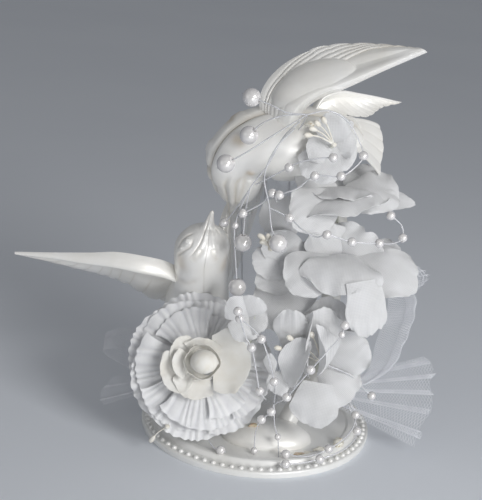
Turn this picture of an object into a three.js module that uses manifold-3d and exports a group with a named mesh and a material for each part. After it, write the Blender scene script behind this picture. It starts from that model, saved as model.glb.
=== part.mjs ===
// A wedding cake topper: two pearl-finished doves over a round beaded base,
// dressed with fabric flowers, pearl sprays and net.
// Millimetres. X runs to the right as seen from the front, Y to the back and Z up.
// The origin is the middle of the base's underside.
import * as THREE from "three";
import { mergeVertices } from "three/addons/utils/BufferGeometryUtils.js";
import Module from "manifold-3d";

const wasm = await Module();
wasm.setup();

// Places of the dressing are shares of this reach from the origin
const REACH = 100;

// Driving dimensions of the base
const BASE_RADIUS = 54;
const RIM_HEIGHT = 3.2;
const RIM_ROUND = 0.9;
const FLANGE_WIDTH = 6.2;
const STEP_RISE = 2.2;
const STEP_SLOPE = 1.2;
const STEP_WIDTH = 2.6;
const FLOOR_DROP = 0.7;
const FOOT_RING_WIDTH = 4;
const UNDERSIDE_DEPTH = 1.8;
const HUB_RADIUS = 10;
const BEAD_DIAMETER = 2.4;
const BEAD_PITCH = 4.3;
const BEAD_INSET = 2.6;

// Driving dimensions of the doves
const DOVE_SIZE = 50;
const SEAM_GAP = 0.3;
const EYE_LENGTH = 4.4;
const EYE_HEIGHT = 2.4;
const EYE_RELIEF = 1.1;
const WING_THICKNESS = 5.6;
const TAIL_THICKNESS = 2.6;
const FEATHER_THICKNESS = 1.1;
const WING_CAMBER = 2.4;
const FEATHER_STEP = 1.2;
const TAIL_CAMBER = 1.2;

// Driving dimensions of the stand
const STAND_FOOT_LENGTH = 39;
const STAND_FOOT_WIDTH = 19;
const STAND_FOOT_HEIGHT = 9;
const POST_DIAMETER = 9;
const PEG_DIAMETER = 8;

// Driving dimensions of the flowers
const ROSE_RADIUS = 33;
const BLOSSOM_RADIUS = 30;
const SMALL_BLOSSOM_RADIUS = 14;
const STEM_DIAMETER = 1.6;
const CALYX_DIAMETER = 6;
const STEM_TIP = 1;
const PETAL_THICKNESS = 0.7;
const ROSE_LAYER_STEP = 3.9;
const ROSE_RIB_DEPTH = 0.55;
const ROSE_RIB_COUNT = 28;
const BUD_DIAMETER = 9.6;
const ROSE_BUD_SEAT = 3.5 * ROSE_LAYER_STEP;
const BLOSSOM_LAYER_STEP = 5;
const STAMEN_DIAMETER = 0.7;
const STAMEN_TIP_DIAMETER = 2.4;
const STAMEN_TIP_LENGTH = 5;

// Driving dimensions of the pearl sprays and the net
const LARGE_PEARL = 8;
const SMALL_PEARL = 4;
const TINY_PEARL = 3;
const WIRE_DIAMETER = 0.7;
const WIRE_STEP = 10;
const KNOT_DIAMETER = 2.6;
const NET_THICKNESS = 0.8;
const NET_FOLD_DEPTH = 1.6;

// Room left between pieces that touch, and the distance below which two corners are one
const CLEARANCE = 0.3;
const SAME_PLACE = 1e-4;
// Top of the base's floor, inside its raised step
const FLOOR_HEIGHT = RIM_HEIGHT + STEP_RISE - FLOOR_DROP;

const place = ([x, y, z]) => new THREE.Vector3(x, y, z).multiplyScalar(REACH);
const direction = ([x, y, z]) => new THREE.Vector3(x, y, z).normalize();
const smooth = (points) => new THREE.CatmullRomCurve3(points, false, "centripetal");

// A closed solid from any closed geometry, turned so that its faces point out.
function solid(geometry) {
  const bare = new THREE.BufferGeometry();
  bare.setAttribute("position", geometry.getAttribute("position"));
  bare.setIndex(geometry.getIndex());
  const merged = mergeVertices(bare, SAME_PLACE);
  const corners = [];
  for (let i = 0; i < merged.index.count; i += 3) {
    const [a, b, c] = [0, 1, 2].map((k) => merged.index.getX(i + k));
    if (a !== b && b !== c && a !== c) corners.push([a, b, c]);
  }
  const make = (list) =>
    new wasm.Manifold(
      new wasm.Mesh({
        numProp: 3,
        vertProperties: merged.attributes.position.array,
        triVerts: new Uint32Array(list.flat()),
      }),
    );
  const made = make(corners);
  return made.volume() < 0 ? make(corners.map(([a, b, c]) => [a, c, b])) : made;
}

// The largest body of a solid that a cut has left in several.
function largest(shape) {
  return shape.decompose().sort((a, b) => b.volume() - a.volume())[0];
}

// A closed thin solid between two grids of points, open at its ends or wrapped into a ring.
function shell(upper, lower, wraps) {
  const columns = upper.length;
  const last = upper[0].length - 1;
  const index = [];
  const at = (side, i, j) => (side * columns + (i % columns)) * (last + 1) + j;
  const quad = (a, b, c, d) => index.push(a, b, c, a, c, d);
  const spans = wraps ? columns : columns - 1;
  for (let i = 0; i < spans; i++) {
    for (let j = 0; j < last; j++) {
      quad(at(0, i, j), at(0, i + 1, j), at(0, i + 1, j + 1), at(0, i, j + 1));
      quad(at(1, i, j), at(1, i, j + 1), at(1, i + 1, j + 1), at(1, i + 1, j));
    }
    quad(at(0, i, 0), at(1, i, 0), at(1, i + 1, 0), at(0, i + 1, 0));
    quad(at(0, i, last), at(0, i + 1, last), at(1, i + 1, last), at(1, i, last));
  }
  for (let j = 0; j < last && !wraps; j++) {
    quad(at(0, 0, j), at(0, 0, j + 1), at(1, 0, j + 1), at(1, 0, j));
    quad(at(0, spans, j), at(1, spans, j), at(1, spans, j + 1), at(0, spans, j + 1));
  }
  const points = [...upper.flat(), ...lower.flat()];
  const geometry = new THREE.BufferGeometry().setFromPoints(points);
  geometry.setIndex(index);
  return solid(geometry);
}

// A sheet of a given thickness along both sides of a surface at(u, v).
function sheet({ columns, rows, wraps = false, at, thickness }) {
  const steps = wraps ? columns : columns - 1;
  const middle = [];
  for (let i = 0; i < columns; i++) {
    middle.push([]);
    for (let j = 0; j < rows; j++) middle[i].push(at(i / steps, j / (rows - 1)));
  }
  const near = (i) => (wraps ? (i + columns) % columns : Math.min(Math.max(i, 0), columns - 1));
  const side = (sign) =>
    middle.map((line, i) =>
      line.map((point, j) => {
        const across = middle[near(i + 1)][j].clone().sub(middle[near(i - 1)][j]);
        const along = line[Math.min(j + 1, rows - 1)].clone().sub(line[Math.max(j - 1, 0)]);
        const normal = across.cross(along).normalize();
        const half = (sign * thickness(i / steps, j / (rows - 1))) / 2;
        return point.clone().addScaledVector(normal, half);
      }),
    );
  return shell(side(1), side(-1), wraps);
}

// A closed solid through rings of points, with a flat cap at each end.
function loft(rings) {
  const count = rings[0].length;
  const index = [];
  for (let i = 0; i < rings.length - 1; i++)
    for (let j = 0; j < count; j++) {
      const [a, b] = [i * count + j, i * count + ((j + 1) % count)];
      index.push(a, b, b + count, a, b + count, a + count);
    }
  const end = (rings.length - 1) * count;
  for (let j = 1; j < count - 1; j++) {
    index.push(0, j + 1, j);
    index.push(end, end + j, end + j + 1);
  }
  const geometry = new THREE.BufferGeometry().setFromPoints(rings.flat());
  geometry.setIndex(index);
  return solid(geometry);
}

// A round rod along a curve: stations holds [distance along it, radius] pairs.
function rod(curve, stations, sides) {
  const length = curve.getLength();
  let normal = null;
  const rings = stations.map(([distance, radius]) => {
    const share = THREE.MathUtils.clamp(distance / length, 0, 1);
    const tangent = curve.getTangentAt(share).normalize();
    normal ??= new THREE.Vector3(0.31, 0.83, 0.47);
    normal.addScaledVector(tangent, -normal.dot(tangent)).normalize();
    const other = tangent.clone().cross(normal);
    const middle = curve.getPointAt(share);
    return Array.from({ length: sides }, (_, k) => {
      const angle = (2 * Math.PI * k) / sides;
      const out = normal.clone().multiplyScalar(Math.cos(angle));
      out.addScaledVector(other, Math.sin(angle));
      return middle.clone().addScaledVector(out, radius);
    });
  });
  return loft(rings);
}

// A rod of one diameter, longer and fatter by extra.
function plainRod(points, diameter, steps, sides, extra) {
  const curve = smooth(points);
  const length = curve.getLength();
  const radius = diameter / 2 + extra;
  const stations = Array.from({ length: steps + 1 }, (_, i) => [(i / steps) * length, radius]);
  return rod(curve, stations, sides);
}

// An egg shape of three sizes, along X, Y and Z.
function egg(middle, sizes, sides) {
  const shape = new THREE.SphereGeometry(1 / 2, sides, sides - 2);
  shape.scale(...sizes);
  shape.translate(middle.x, middle.y, middle.z);
  return solid(shape);
}

function ball(middle, diameter, extra, sides = 6) {
  const size = diameter + 2 * extra;
  return egg(middle, [size, size, size], sides);
}

// Base: a turned plate on a ring foot, with a ring of half beads round its flange.
function basePlate(extra) {
  const step = BASE_RADIUS - FLANGE_WIDTH;
  const top = RIM_HEIGHT + STEP_RISE;
  const profile = [
    [0, -extra],
    [HUB_RADIUS, -extra],
    [HUB_RADIUS, UNDERSIDE_DEPTH - extra],
    [BASE_RADIUS - FOOT_RING_WIDTH, UNDERSIDE_DEPTH - extra],
    [BASE_RADIUS - FOOT_RING_WIDTH, -extra],
    [BASE_RADIUS + extra, -extra],
    [BASE_RADIUS + extra, RIM_HEIGHT - RIM_ROUND + extra],
    [BASE_RADIUS - RIM_ROUND + extra, RIM_HEIGHT + extra],
    [step + extra, RIM_HEIGHT + extra],
    [step - STEP_SLOPE + extra, top + extra],
    [step - STEP_SLOPE - STEP_WIDTH, top + extra],
    [step - STEP_SLOPE - STEP_WIDTH - FLOOR_DROP, FLOOR_HEIGHT + extra],
    [0, FLOOR_HEIGHT + extra],
  ].map(([r, z]) => new THREE.Vector2(r, z));
  const turned = new THREE.LatheGeometry(profile, 60);
  turned.rotateX(Math.PI / 2);
  return solid(turned);
}

// One half bead, as a low dome that sinks a little into the flange.
function bead(angle, extra) {
  const radius = BEAD_DIAMETER / 2 + extra;
  const dome = new THREE.LatheGeometry(
    [
      [0, -radius / 4],
      [radius, -radius / 4],
      [radius * Math.cos(Math.PI / 5), radius * Math.sin(Math.PI / 5)],
      [0, radius * 0.95],
    ].map(([r, z]) => new THREE.Vector2(r, z)),
    4,
  );
  dome.rotateX(Math.PI / 2);
  const ring = BASE_RADIUS - BEAD_INSET;
  dome.translate(ring * Math.cos(angle), ring * Math.sin(angle), RIM_HEIGHT);
  return solid(dome);
}

function beadedBase(extra) {
  const ring = 2 * Math.PI * (BASE_RADIUS - BEAD_INSET);
  const count = Math.round(ring / BEAD_PITCH);
  const beads = Array.from({ length: count }, (_, i) => bead((2 * Math.PI * i) / count, extra));
  return wasm.Manifold.union([basePlate(extra), ...beads]);
}

// Doves: the tables give, from rump to beak, how far forward of the middle, towards the back
// and to the left each section lies, its half width, and its height above and below. The eye
// is placed by its share of the way to the beak and its turn up from the breast.
const upperDove = {
  middleShare: [0.13, 0.03, 1.39],
  forward: [-0.945, 0, -0.327],
  back: [-0.3, -0.35, 0.88],
  eyeShares: [0.68, 0.52],
  stationShares: [
    [-0.5, -0.08, 0, 0.1, 0.07, 0.08],
    [-0.38, -0.05, 0, 0.2, 0.16, 0.18],
    [-0.2, -0.02, 0, 0.29, 0.24, 0.27],
    [0, 0.02, 0, 0.34, 0.29, 0.34],
    [0.19, 0.07, 0, 0.35, 0.33, 0.37],
    [0.37, 0.11, 0, 0.32, 0.32, 0.33],
    [0.53, 0.08, 0, 0.285, 0.315, 0.27],
    [0.645, -0.02, 0, 0.26, 0.3, 0.24],
    [0.69, -0.18, 0, 0.24, 0.25, 0.235],
    [0.735, -0.32, 0, 0.2, 0.2, 0.2],
    [0.775, -0.415, 0, 0.115, 0.115, 0.12],
    [0.82, -0.48, 0, 0.052, 0.055, 0.055],
    [0.872, -0.595, 0, 0.014, 0.014, 0.014],
  ],
};

const lowerDove = {
  middleShare: [-0.315, 0.12, 0.55],
  forward: [0.087, -0.492, 0.866],
  back: [-0.15, 0.853, 0.5],
  eyeShares: [0.66, 0.34],
  stationShares: [
    [-0.56, -0.04, 0, 0.1, 0.08, 0.08],
    [-0.42, -0.03, 0, 0.2, 0.16, 0.18],
    [-0.24, -0.02, 0, 0.27, 0.24, 0.26],
    [-0.04, 0, 0, 0.3, 0.28, 0.3],
    [0.14, 0, 0, 0.285, 0.27, 0.28],
    [0.3, 0.01, 0, 0.256, 0.25, 0.25],
    [0.46, 0.05, -0.01, 0.246, 0.245, 0.24],
    [0.6, 0.09, -0.022, 0.25, 0.25, 0.245],
    [0.71, 0.115, -0.018, 0.243, 0.24, 0.24],
    [0.8, 0.138, -0.004, 0.196, 0.195, 0.195],
    [0.86, 0.153, 0.0075, 0.12, 0.12, 0.12],
    [0.905, 0.166, 0.016, 0.058, 0.055, 0.055],
    [1.06, 0.208, 0.036, 0.013, 0.012, 0.012],
  ],
};

// A place on a dove, in shares of its size from its middle
function onDove(dove, [x, y, z]) {
  return new THREE.Vector3(x, y, z).multiplyScalar(DOVE_SIZE).add(place(dove.middleShare));
}

function birdFrame(dove) {
  const forward = direction(dove.forward);
  const left = direction(dove.back).cross(forward).normalize();
  return { middle: place(dove.middleShare), forward, left, back: forward.clone().cross(left) };
}

function station(dove, frame, number) {
  const shares = dove.stationShares;
  const spot = ([ahead, above]) => [ahead * DOVE_SIZE, above * DOVE_SIZE];
  const [ahead, above] = spot(shares[number]);
  const aside = shares[number][2] * DOVE_SIZE;
  const before = spot(shares[Math.max(number - 1, 0)]);
  const after = spot(shares[Math.min(number + 1, shares.length - 1)]);
  const slope = new THREE.Vector2(after[0] - before[0], after[1] - before[1]).normalize();
  const middle = frame.middle.clone();
  middle.addScaledVector(frame.forward, ahead).addScaledVector(frame.back, above);
  middle.addScaledVector(frame.left, aside);
  const up = frame.forward.clone().multiplyScalar(-slope.y).addScaledVector(frame.back, slope.x);
  const along = frame.forward.clone().multiplyScalar(slope.x).addScaledVector(frame.back, slope.y);
  const [width, over, under] = shares[number].slice(3).map((share) => share * DOVE_SIZE);
  return { middle, up, along, width, over, under };
}

// One moulded half of a dove, flat along the seam; side is 1 for its left and -1 for its right.
function doveHalf(dove, side, extra) {
  const frame = birdFrame(dove);
  const last = dove.stationShares.length - 1;
  const arcs = 7;
  const rings = dove.stationShares.map((_, number) => {
    const { middle, up, along, width, over, under } = station(dove, frame, number);
    const push = number === last ? extra : number === 0 ? -extra : 0;
    return Array.from({ length: arcs + 1 }, (_, k) => {
      const angle = Math.PI * (k / arcs - 0.5);
      const height = Math.sin(angle) * ((angle > 0 ? over : under) + extra);
      const out = SEAM_GAP / 2 - extra + Math.cos(angle) * (width + 2 * extra);
      const point = middle.clone().addScaledVector(up, height).addScaledVector(along, push);
      return point.addScaledVector(frame.left, side * out);
    });
  });
  const [eyeSpot, eyeTurn] = dove.eyeShares;
  const { middle, up, along, width, over, under } = station(
    dove,
    frame,
    Math.round(eyeSpot * last),
  );
  const angle = Math.PI * (eyeTurn - 0.5);
  const height = Math.sin(angle) * (angle > 0 ? over : under);
  const seat = middle.clone().addScaledVector(up, height);
  seat.addScaledVector(frame.left, side * (Math.cos(angle) * width + SEAM_GAP / 2));
  const outward = seat.clone().sub(middle);
  outward.addScaledVector(along, -outward.dot(along)).normalize();
  const eye = new THREE.SphereGeometry(1, 6, 4);
  eye.scale(EYE_LENGTH / 2 + extra, EYE_HEIGHT / 2 + extra, EYE_RELIEF + extra);
  eye.applyMatrix4(new THREE.Matrix4().makeBasis(along, outward.clone().cross(along), outward));
  eye.translate(seat.x, seat.y, seat.z);
  return loft(rings).add(solid(eye));
}

// Wings and tails: a sheet between two edges, scalloped where the feathers end.
function feathered(blade, extra) {
  const { dove, innerShares, outerShares, feathers, rootThickness, camber, columns } = blade;
  const inner = smooth(innerShares.map((share) => onDove(dove, share)));
  const outer = smooth(outerShares.map((share) => onDove(dove, share)));
  const at = (u, v) => {
    const start = inner.getPoint(u);
    const reach = outer.getPoint(u).sub(start);
    const chord = reach.length();
    const scallop = Math.abs(Math.sin(Math.PI * feathers * u)) - 1;
    const grown = chord + 2 * extra + v * Math.min(FEATHER_STEP, chord / 4) * scallop;
    const across = reach.normalize();
    const run = inner.getTangent(u).cross(across).normalize();
    const point = start.addScaledVector(across, v * grown - extra);
    const swell = Math.min(chord / Math.abs(camber) / 6, 1);
    return point.addScaledVector(run, camber * 4 * v * (1 - v) * swell);
  };
  const thickness = (u, v) => {
    const thin = Math.min(FEATHER_THICKNESS, rootThickness);
    return thin + (rootThickness - thin) * (1 - v) ** 2 * (1 - 0.75 * u) + 2 * extra;
  };
  return sheet({ columns, rows: 4, at, thickness });
}

const upperLeftWing = {
  dove: upperDove,
  innerShares: [
    [-0.12, -0.2, 0.12], [-0.06, -0.28, 0.34], [0.08, -0.34, 0.48], [0.26, -0.4, 0.58],
    [0.58, -0.48, 0.78], [0.9, -0.56, 0.97],
  ],
  outerShares: [
    [-0.4, -0.1, 0.14], [-0.44, -0.08, 0.4], [-0.32, -0.04, 0.62], [-0.02, -0.08, 0.84],
    [0.36, -0.22, 0.94], [0.84, -0.51, 0.99],
  ],
  feathers: 9,
  rootThickness: WING_THICKNESS,
  camber: -WING_CAMBER,
  columns: 22,
};
const upperRightWing = {
  dove: upperDove,
  innerShares: [[0.02, 0.06, 0.38], [0.22, 0.18, 0.44], [0.44, 0.3, 0.4], [0.86, 0.56, 0.3]],
  outerShares: [
    [0.06, 0.06, 0.22], [0.3, 0.12, 0.23], [0.54, 0.24, 0.21], [0.66, 0.36, 0.27],
    [0.84, 0.54, 0.29],
  ],
  feathers: 6,
  rootThickness: WING_THICKNESS,
  camber: WING_CAMBER,
  columns: 16,
};
const lowerRightWing = {
  dove: lowerDove,
  innerShares: [
    [-0.15, -0.16, 0.42], [-0.47, -0.3, 0.52], [-0.75, -0.32, 0.55], [-0.97, -0.3, 0.52],
    [-1.31, -0.26, 0.48], [-1.69, -0.24, 0.45],
  ],
  outerShares: [
    [-0.17, 0.2, -0.1], [-0.45, 0.16, -0.04], [-0.69, 0.08, 0.12], [-0.93, -0.02, 0.23],
    [-1.27, -0.14, 0.34], [-1.67, -0.22, 0.43],
  ],
  feathers: 10,
  rootThickness: WING_THICKNESS,
  camber: WING_CAMBER,
  columns: 25,
};
const lowerLeftWing = {
  dove: lowerDove,
  innerShares: [
    [0.19, 0, 0.3], [0.15, 0.06, 0.62], [0.19, 0.12, 0.9], [0.31, 0.18, 1.1], [0.45, 0.26, 1.32],
    [0.59, 0.34, 1.58],
  ],
  outerShares: [
    [0.31, 0.24, 0.1], [0.41, 0.36, 0.5], [0.49, 0.4, 0.82], [0.55, 0.4, 1.1], [0.61, 0.38, 1.34],
    [0.63, 0.36, 1.56],
  ],
  feathers: 9,
  rootThickness: WING_THICKNESS,
  camber: -WING_CAMBER,
  columns: 22,
};
const upperTail = {
  dove: upperDove,
  innerShares: [[0.34, 0.18, 0.22], [0.34, 0.04, 0.14], [0.34, -0.12, 0.04]],
  outerShares: [
    [0.62, 0.22, 0.21], [0.67, 0.12, 0.08], [0.686, 0.02, -0.04], [0.666, -0.08, -0.13],
    [0.66, -0.2, -0.21],
  ],
  feathers: 5,
  rootThickness: TAIL_THICKNESS,
  camber: TAIL_CAMBER,
  columns: 11,
};
const lowerTail = {
  dove: lowerDove,
  innerShares: [[-0.15, 0.26, -0.44], [-0.01, 0.3, -0.48], [0.13, 0.26, -0.44]],
  outerShares: [
    [-0.31, 0.46, -0.82], [-0.15, 0.54, -0.88], [-0.01, 0.56, -0.9], [0.13, 0.54, -0.88],
    [0.29, 0.46, -0.82],
  ],
  feathers: 5,
  rootThickness: TAIL_THICKNESS,
  camber: TAIL_CAMBER,
  columns: 16,
};

// Stand: an oval foot on the floor of the base, with a post up to the upper dove's belly.
const footShare = [0.055, -0.195, 0];
const postShares = [
  [0.14, -0.14, 0.08], [0.26, -0.04, 0.32], [0.3, 0, 0.62], [0.31, 0.01, 0.95], [0.28, 0.02, 1.1],
];
const postTopShare = [0.1, 0, -0.3];
const pegShares = [[-0.31, 0.13, 0.05], [-0.31, 0.14, 0.25]];
const pegTopShare = [0.01, 0.06, -0.2];

function doveStand(extra) {
  const middle = place(footShare).setZ(FLOOR_HEIGHT);
  const sizes = [STAND_FOOT_LENGTH, STAND_FOOT_WIDTH, 2 * STAND_FOOT_HEIGHT];
  const foot = egg(middle, sizes.map((size) => size + 2 * extra), 12);
  const route = [...postShares.map(place), onDove(upperDove, postTopShare)];
  return foot.add(plainRod(route, POST_DIAMETER, 9, 8, extra));
}

function lowerDovePeg(extra) {
  const route = [...pegShares.map(place), onDove(lowerDove, pegTopShare)];
  return plainRod(route, PEG_DIAMETER, 3, 8, extra);
}

// Flowers: die-cut discs of fabric with a hole for the stem. Each petal has its own length
// and lift.
function flowerFrame({ centreShare, axis }) {
  const outward = direction(axis);
  const right = new THREE.Vector3(1, 0, 0);
  right.addScaledVector(outward, -right.dot(outward)).normalize();
  return { centre: place(centreShare), outward, right, up: outward.clone().cross(right) };
}

// The lobes of a disc: how far round the axis, how far from it and how far ahead each tip lies
function evenLobes({ radius, lengthShares, liftShares, cupShare, turn }) {
  return lengthShares.map((share, i) => ({
    angle: 2 * Math.PI * (i / lengthShares.length + turn),
    length: radius * share,
    lift: radius * (cupShare + liftShares[i % liftShares.length]),
  }));
}

// The same for petals that crowd each other, from the places of their tips, in shares of the
// radius from the centre, listed the way round from the right over the top
function placedLobes({ radius, tipShares, height }, frame) {
  let angle = -Math.PI;
  return tipShares.map((share) => {
    const tip = new THREE.Vector3(...share).multiplyScalar(radius);
    const along = tip.dot(frame.right);
    const aloft = tip.dot(frame.up);
    const turn = Math.atan2(aloft, along);
    angle = turn < angle ? turn + 2 * Math.PI : turn;
    return { angle, length: Math.hypot(along, aloft), lift: tip.dot(frame.outward) - height };
  });
}

function petalDisc(flower, extra) {
  const { notchShare, height, ribs = 0, ribDepth = 0, columns, rows } = flower;
  const frame = flowerFrame(flower);
  const lobes = flower.tipShares ? placedLobes(flower, frame) : evenLobes(flower);
  const hole = STEM_DIAMETER / 2 + 2 * CLEARANCE;
  const at = (u, v) => {
    const spot = u * lobes.length;
    const blend = spot - Math.floor(spot);
    const ease = blend * blend * (3 - 2 * blend);
    const first = lobes[Math.floor(spot) % lobes.length];
    const next = lobes[(Math.floor(spot) + 1) % lobes.length];
    const nextAngle = next.angle < first.angle ? next.angle + 2 * Math.PI : next.angle;
    const angle = first.angle * (1 - blend) + nextAngle * blend;
    const length = first.length * (1 - ease) + next.length * ease;
    const petal = Math.abs(Math.cos(Math.PI * spot)) ** 0.4;
    const outline = length * (notchShare + (1 - notchShare) * petal) + extra;
    const reach = hole - extra + v * (outline - hole + extra);
    const lift = (first.lift * (1 - ease) + next.lift * ease) * (reach / length) ** 2;
    const rib = v * ribDepth * Math.cos(2 * Math.PI * ribs * u);
    const point = frame.centre.clone().addScaledVector(frame.outward, height + lift + rib);
    point.addScaledVector(frame.right, reach * Math.cos(angle));
    return point.addScaledVector(frame.up, reach * Math.sin(angle));
  };
  return sheet({ columns, rows, wraps: true, at, thickness: () => PETAL_THICKNESS + 2 * extra });
}

const rose = { centreShare: [-0.27, -0.24, 0.385], axis: [0.06, -0.87, 0.5] };
const ribbed = {
  ...rose,
  notchShare: 0.86,
  cupShare: 0.1,
  ribs: ROSE_RIB_COUNT,
  ribDepth: ROSE_RIB_DEPTH,
  columns: 2 * ROSE_RIB_COUNT,
  rows: 3,
};
const roseLayers = {
  rose_pleated_back: {
    ...ribbed,
    radius: ROSE_RADIUS,
    height: 0,
    turn: 0,
    liftShares: [0, 0.05, 0, 0.04],
    lengthShares: [1, 0.98, 1, 0.97, 1, 0.99, 0.98],
  },
  rose_pleated_middle: {
    ...ribbed,
    radius: 0.88 * ROSE_RADIUS,
    height: ROSE_LAYER_STEP,
    turn: 0.07,
    liftShares: [0.04, 0, 0.03, 0],
    lengthShares: [1, 0.97, 1, 0.98, 0.96, 1],
  },
  rose_pleated_front: {
    ...ribbed,
    radius: 0.72 * ROSE_RADIUS,
    height: 2 * ROSE_LAYER_STEP,
    turn: 0.12,
    liftShares: [0, 0.06, 0],
    lengthShares: [1, 0.95, 1, 0.98, 1],
  },
  rose_cream_outer: {
    ...rose,
    notchShare: 0.8,
    radius: 0.5 * ROSE_RADIUS,
    height: 3 * ROSE_LAYER_STEP,
    turn: 0.05,
    cupShare: 0.3,
    columns: 24,
    rows: 4,
    liftShares: [0.1, 0, 0.05],
    lengthShares: [1, 0.9, 1, 0.95],
  },
  rose_cream_inner: {
    ...rose,
    notchShare: 0.85,
    radius: 0.33 * ROSE_RADIUS,
    height: ROSE_BUD_SEAT,
    turn: 0.2,
    cupShare: 0.65,
    columns: 18,
    rows: 4,
    liftShares: [0, 0.1, 0],
    lengthShares: [1, 0.92, 1],
  },
};

function roseBud(extra) {
  const frame = flowerFrame(rose);
  const middle = frame.centre.addScaledVector(frame.outward, ROSE_BUD_SEAT + BUD_DIAMETER / 2);
  return ball(middle, BUD_DIAMETER, extra, 8);
}

const petals = { notchShare: 0.5, columns: 36, rows: 2 };
const blossom = { ...petals, radius: BLOSSOM_RADIUS, height: 0 };
const topBlossom = { ...blossom, centreShare: [0.29, -0.1, 1.15], axis: [0.1, -0.6, 0.79] };
const middleBlossom = { ...blossom, centreShare: [0.28, -0.15, 0.85], axis: [0.05, -0.75, 0.66] };
const lowerBlossom = { ...blossom, centreShare: [0.27, -0.22, 0.42], axis: [0, -0.85, 0.53] };
const blossomLayers = {
  top_blossom_lower: {
    ...topBlossom,
    tipShares: [
      [1.08, -0.1, 0.1], [0.23, 1.1, 0.07], [-1.1, -0.03, -0.47], [-0.75, -0.53, -0.27],
      [-0.13, -0.77, -0.17], [0.63, -0.63, -0.07],
    ],
  },
  top_blossom_upper: {
    ...topBlossom,
    height: 0.6 * BLOSSOM_LAYER_STEP,
    columns: 30,
    tipShares: [
      [0.83, -0.23, 0.17], [0.7, 0.47, 0.3], [-0.5, 0.8, 0.23], [-0.7, 0.03, 0.4], [0.1, -0.5, 0.03],
    ],
  },
  middle_blossom_back: {
    ...middleBlossom,
    columns: 42,
    tipShares: [
      [1.17, -0.1, 0.4], [0.73, 0.97, -0.03], [-0.6, 1.03, 0.03], [-1.05, -0.03, 0.43],
      [-1.2, -0.07, 0.1], [-1.1, -0.13, -0.2], [-1.08, -0.27, -0.8],
    ],
  },
  middle_blossom_front: {
    ...middleBlossom,
    height: BLOSSOM_LAYER_STEP,
    tipShares: [
      [1.3, -0.4, -0.1], [0.57, 0.07, 0.83], [-0.2, 0.07, 0.7], [-0.67, -0.53, -0.1],
      [-0.03, -0.73, -0.17], [0.67, -0.4, -0.8],
    ],
  },
  lower_blossom_back: {
    ...lowerBlossom,
    columns: 42,
    tipShares: [
      [0.97, 0.07, 0.13], [0.77, -0.27, 0.63], [0.1, -0.17, 1.17], [-0.63, -0.47, 1.1],
      [-0.87, -0.53, 0.37], [0, -0.3, -0.45], [0.73, -0.4, -0.37],
    ],
  },
  lower_blossom_front: {
    ...lowerBlossom,
    height: BLOSSOM_LAYER_STEP,
    tipShares: [
      [0.43, -0.47, 0.1], [-0.1, -0.6, 1.07], [-0.27, -0.67, 1.23], [-0.43, -0.6, 0.8],
      [-0.33, -0.7, -0.43], [0, -0.73, -0.73],
    ],
  },
  breast_blossom: {
    ...blossom,
    centreShare: [0.23, -0.19, 1.43],
    axis: [0.2, -0.85, 0.48],
    columns: 30,
    tipShares: [
      [0.33, 0.07, 0.1], [-0.03, -0.03, 0.5], [-0.27, -0.13, -0.17], [0.07, -0.1, -0.63],
      [0.3, 0.07, -0.3],
    ],
  },
  small_blossom: {
    ...petals,
    radius: SMALL_BLOSSOM_RADIUS,
    height: 0,
    centreShare: [-0.04, -0.33, 0.67],
    axis: [-0.1, -0.85, 0.5],
    columns: 24,
    tipShares: [
      [0.5, -0.21, 0.07], [-0.07, -0.07, 0.79], [-0.93, -0.14, 0.57], [-0.5, -0.36, -0.64],
    ],
  },
};

// A stem runs from ahead of a flower's centre to what carries it, with a small calyx behind
// the petals.
function stem({ flower, ahead, routeShares }, extra) {
  const { centre, outward } = flowerFrame(flower);
  const seat = CALYX_DIAMETER / 2 + CLEARANCE + PETAL_THICKNESS;
  const front = centre.clone().addScaledVector(outward, ahead);
  const behind = centre.clone().addScaledVector(outward, -seat);
  const curve = smooth([front, behind, ...routeShares.map(place)]);
  const length = curve.getLength();
  const radius = STEM_DIAMETER / 2 + extra;
  const stations = [0, 0.2, 0.4, 0.6, 0.8, 1].map((share) => [share * length, radius]);
  return rod(curve, stations, 5).add(ball(behind, CALYX_DIAMETER, extra));
}

const stems = {
  rose_stem: {
    flower: rose,
    ahead: ROSE_BUD_SEAT - CLEARANCE,
    routeShares: [[-0.25, -0.14, 0.2], [-0.22, -0.13, 0.04]],
  },
  top_blossom_stem: {
    flower: topBlossom,
    ahead: 0.6 * BLOSSOM_LAYER_STEP + STEM_TIP,
    routeShares: [[0.3, -0.01, 1.02]],
  },
  middle_blossom_stem: {
    flower: middleBlossom,
    ahead: BLOSSOM_LAYER_STEP + STEM_TIP,
    routeShares: [[0.3, 0, 0.74]],
  },
  lower_blossom_stem: {
    flower: lowerBlossom,
    ahead: BLOSSOM_LAYER_STEP + STEM_TIP,
    routeShares: [[0.27, -0.03, 0.35]],
  },
  breast_blossom_stem: {
    flower: blossomLayers.breast_blossom,
    ahead: STEM_TIP,
    routeShares: [[0.2, -0.08, 1.41], [0.17, 0, 1.4]],
  },
  small_blossom_stem: {
    flower: blossomLayers.small_blossom,
    ahead: STEM_TIP,
    routeShares: [[-0.06, -0.2, 0.5], [-0.06, -0.12, 0.25], [-0.05, -0.1, 0.04]],
  },
};

// Stamens: fine threads from one point, each swelling to a drop at its tip.
function stamens({ rootShare, tipShares }, extra) {
  const root = place(rootShare);
  const thread = STAMEN_DIAMETER / 2 + extra;
  const drop = STAMEN_TIP_DIAMETER / 2 + extra;
  const parts = tipShares.map((share) => {
    const tip = place(share);
    const bow = root.clone().lerp(tip, 0.5).add(new THREE.Vector3(0, 0, STAMEN_TIP_DIAMETER / 2));
    const curve = smooth([root, bow, tip]);
    const length = curve.getLength();
    const start = length - STAMEN_TIP_LENGTH;
    const stations = [
      [0, thread],
      [start / 2, thread],
      [start, thread],
      [length - STAMEN_TIP_LENGTH / 3, drop],
      [length, drop / 3],
    ];
    return rod(curve, stations, 4);
  });
  return wasm.Manifold.union([ball(root, KNOT_DIAMETER, extra), ...parts]);
}

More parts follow.
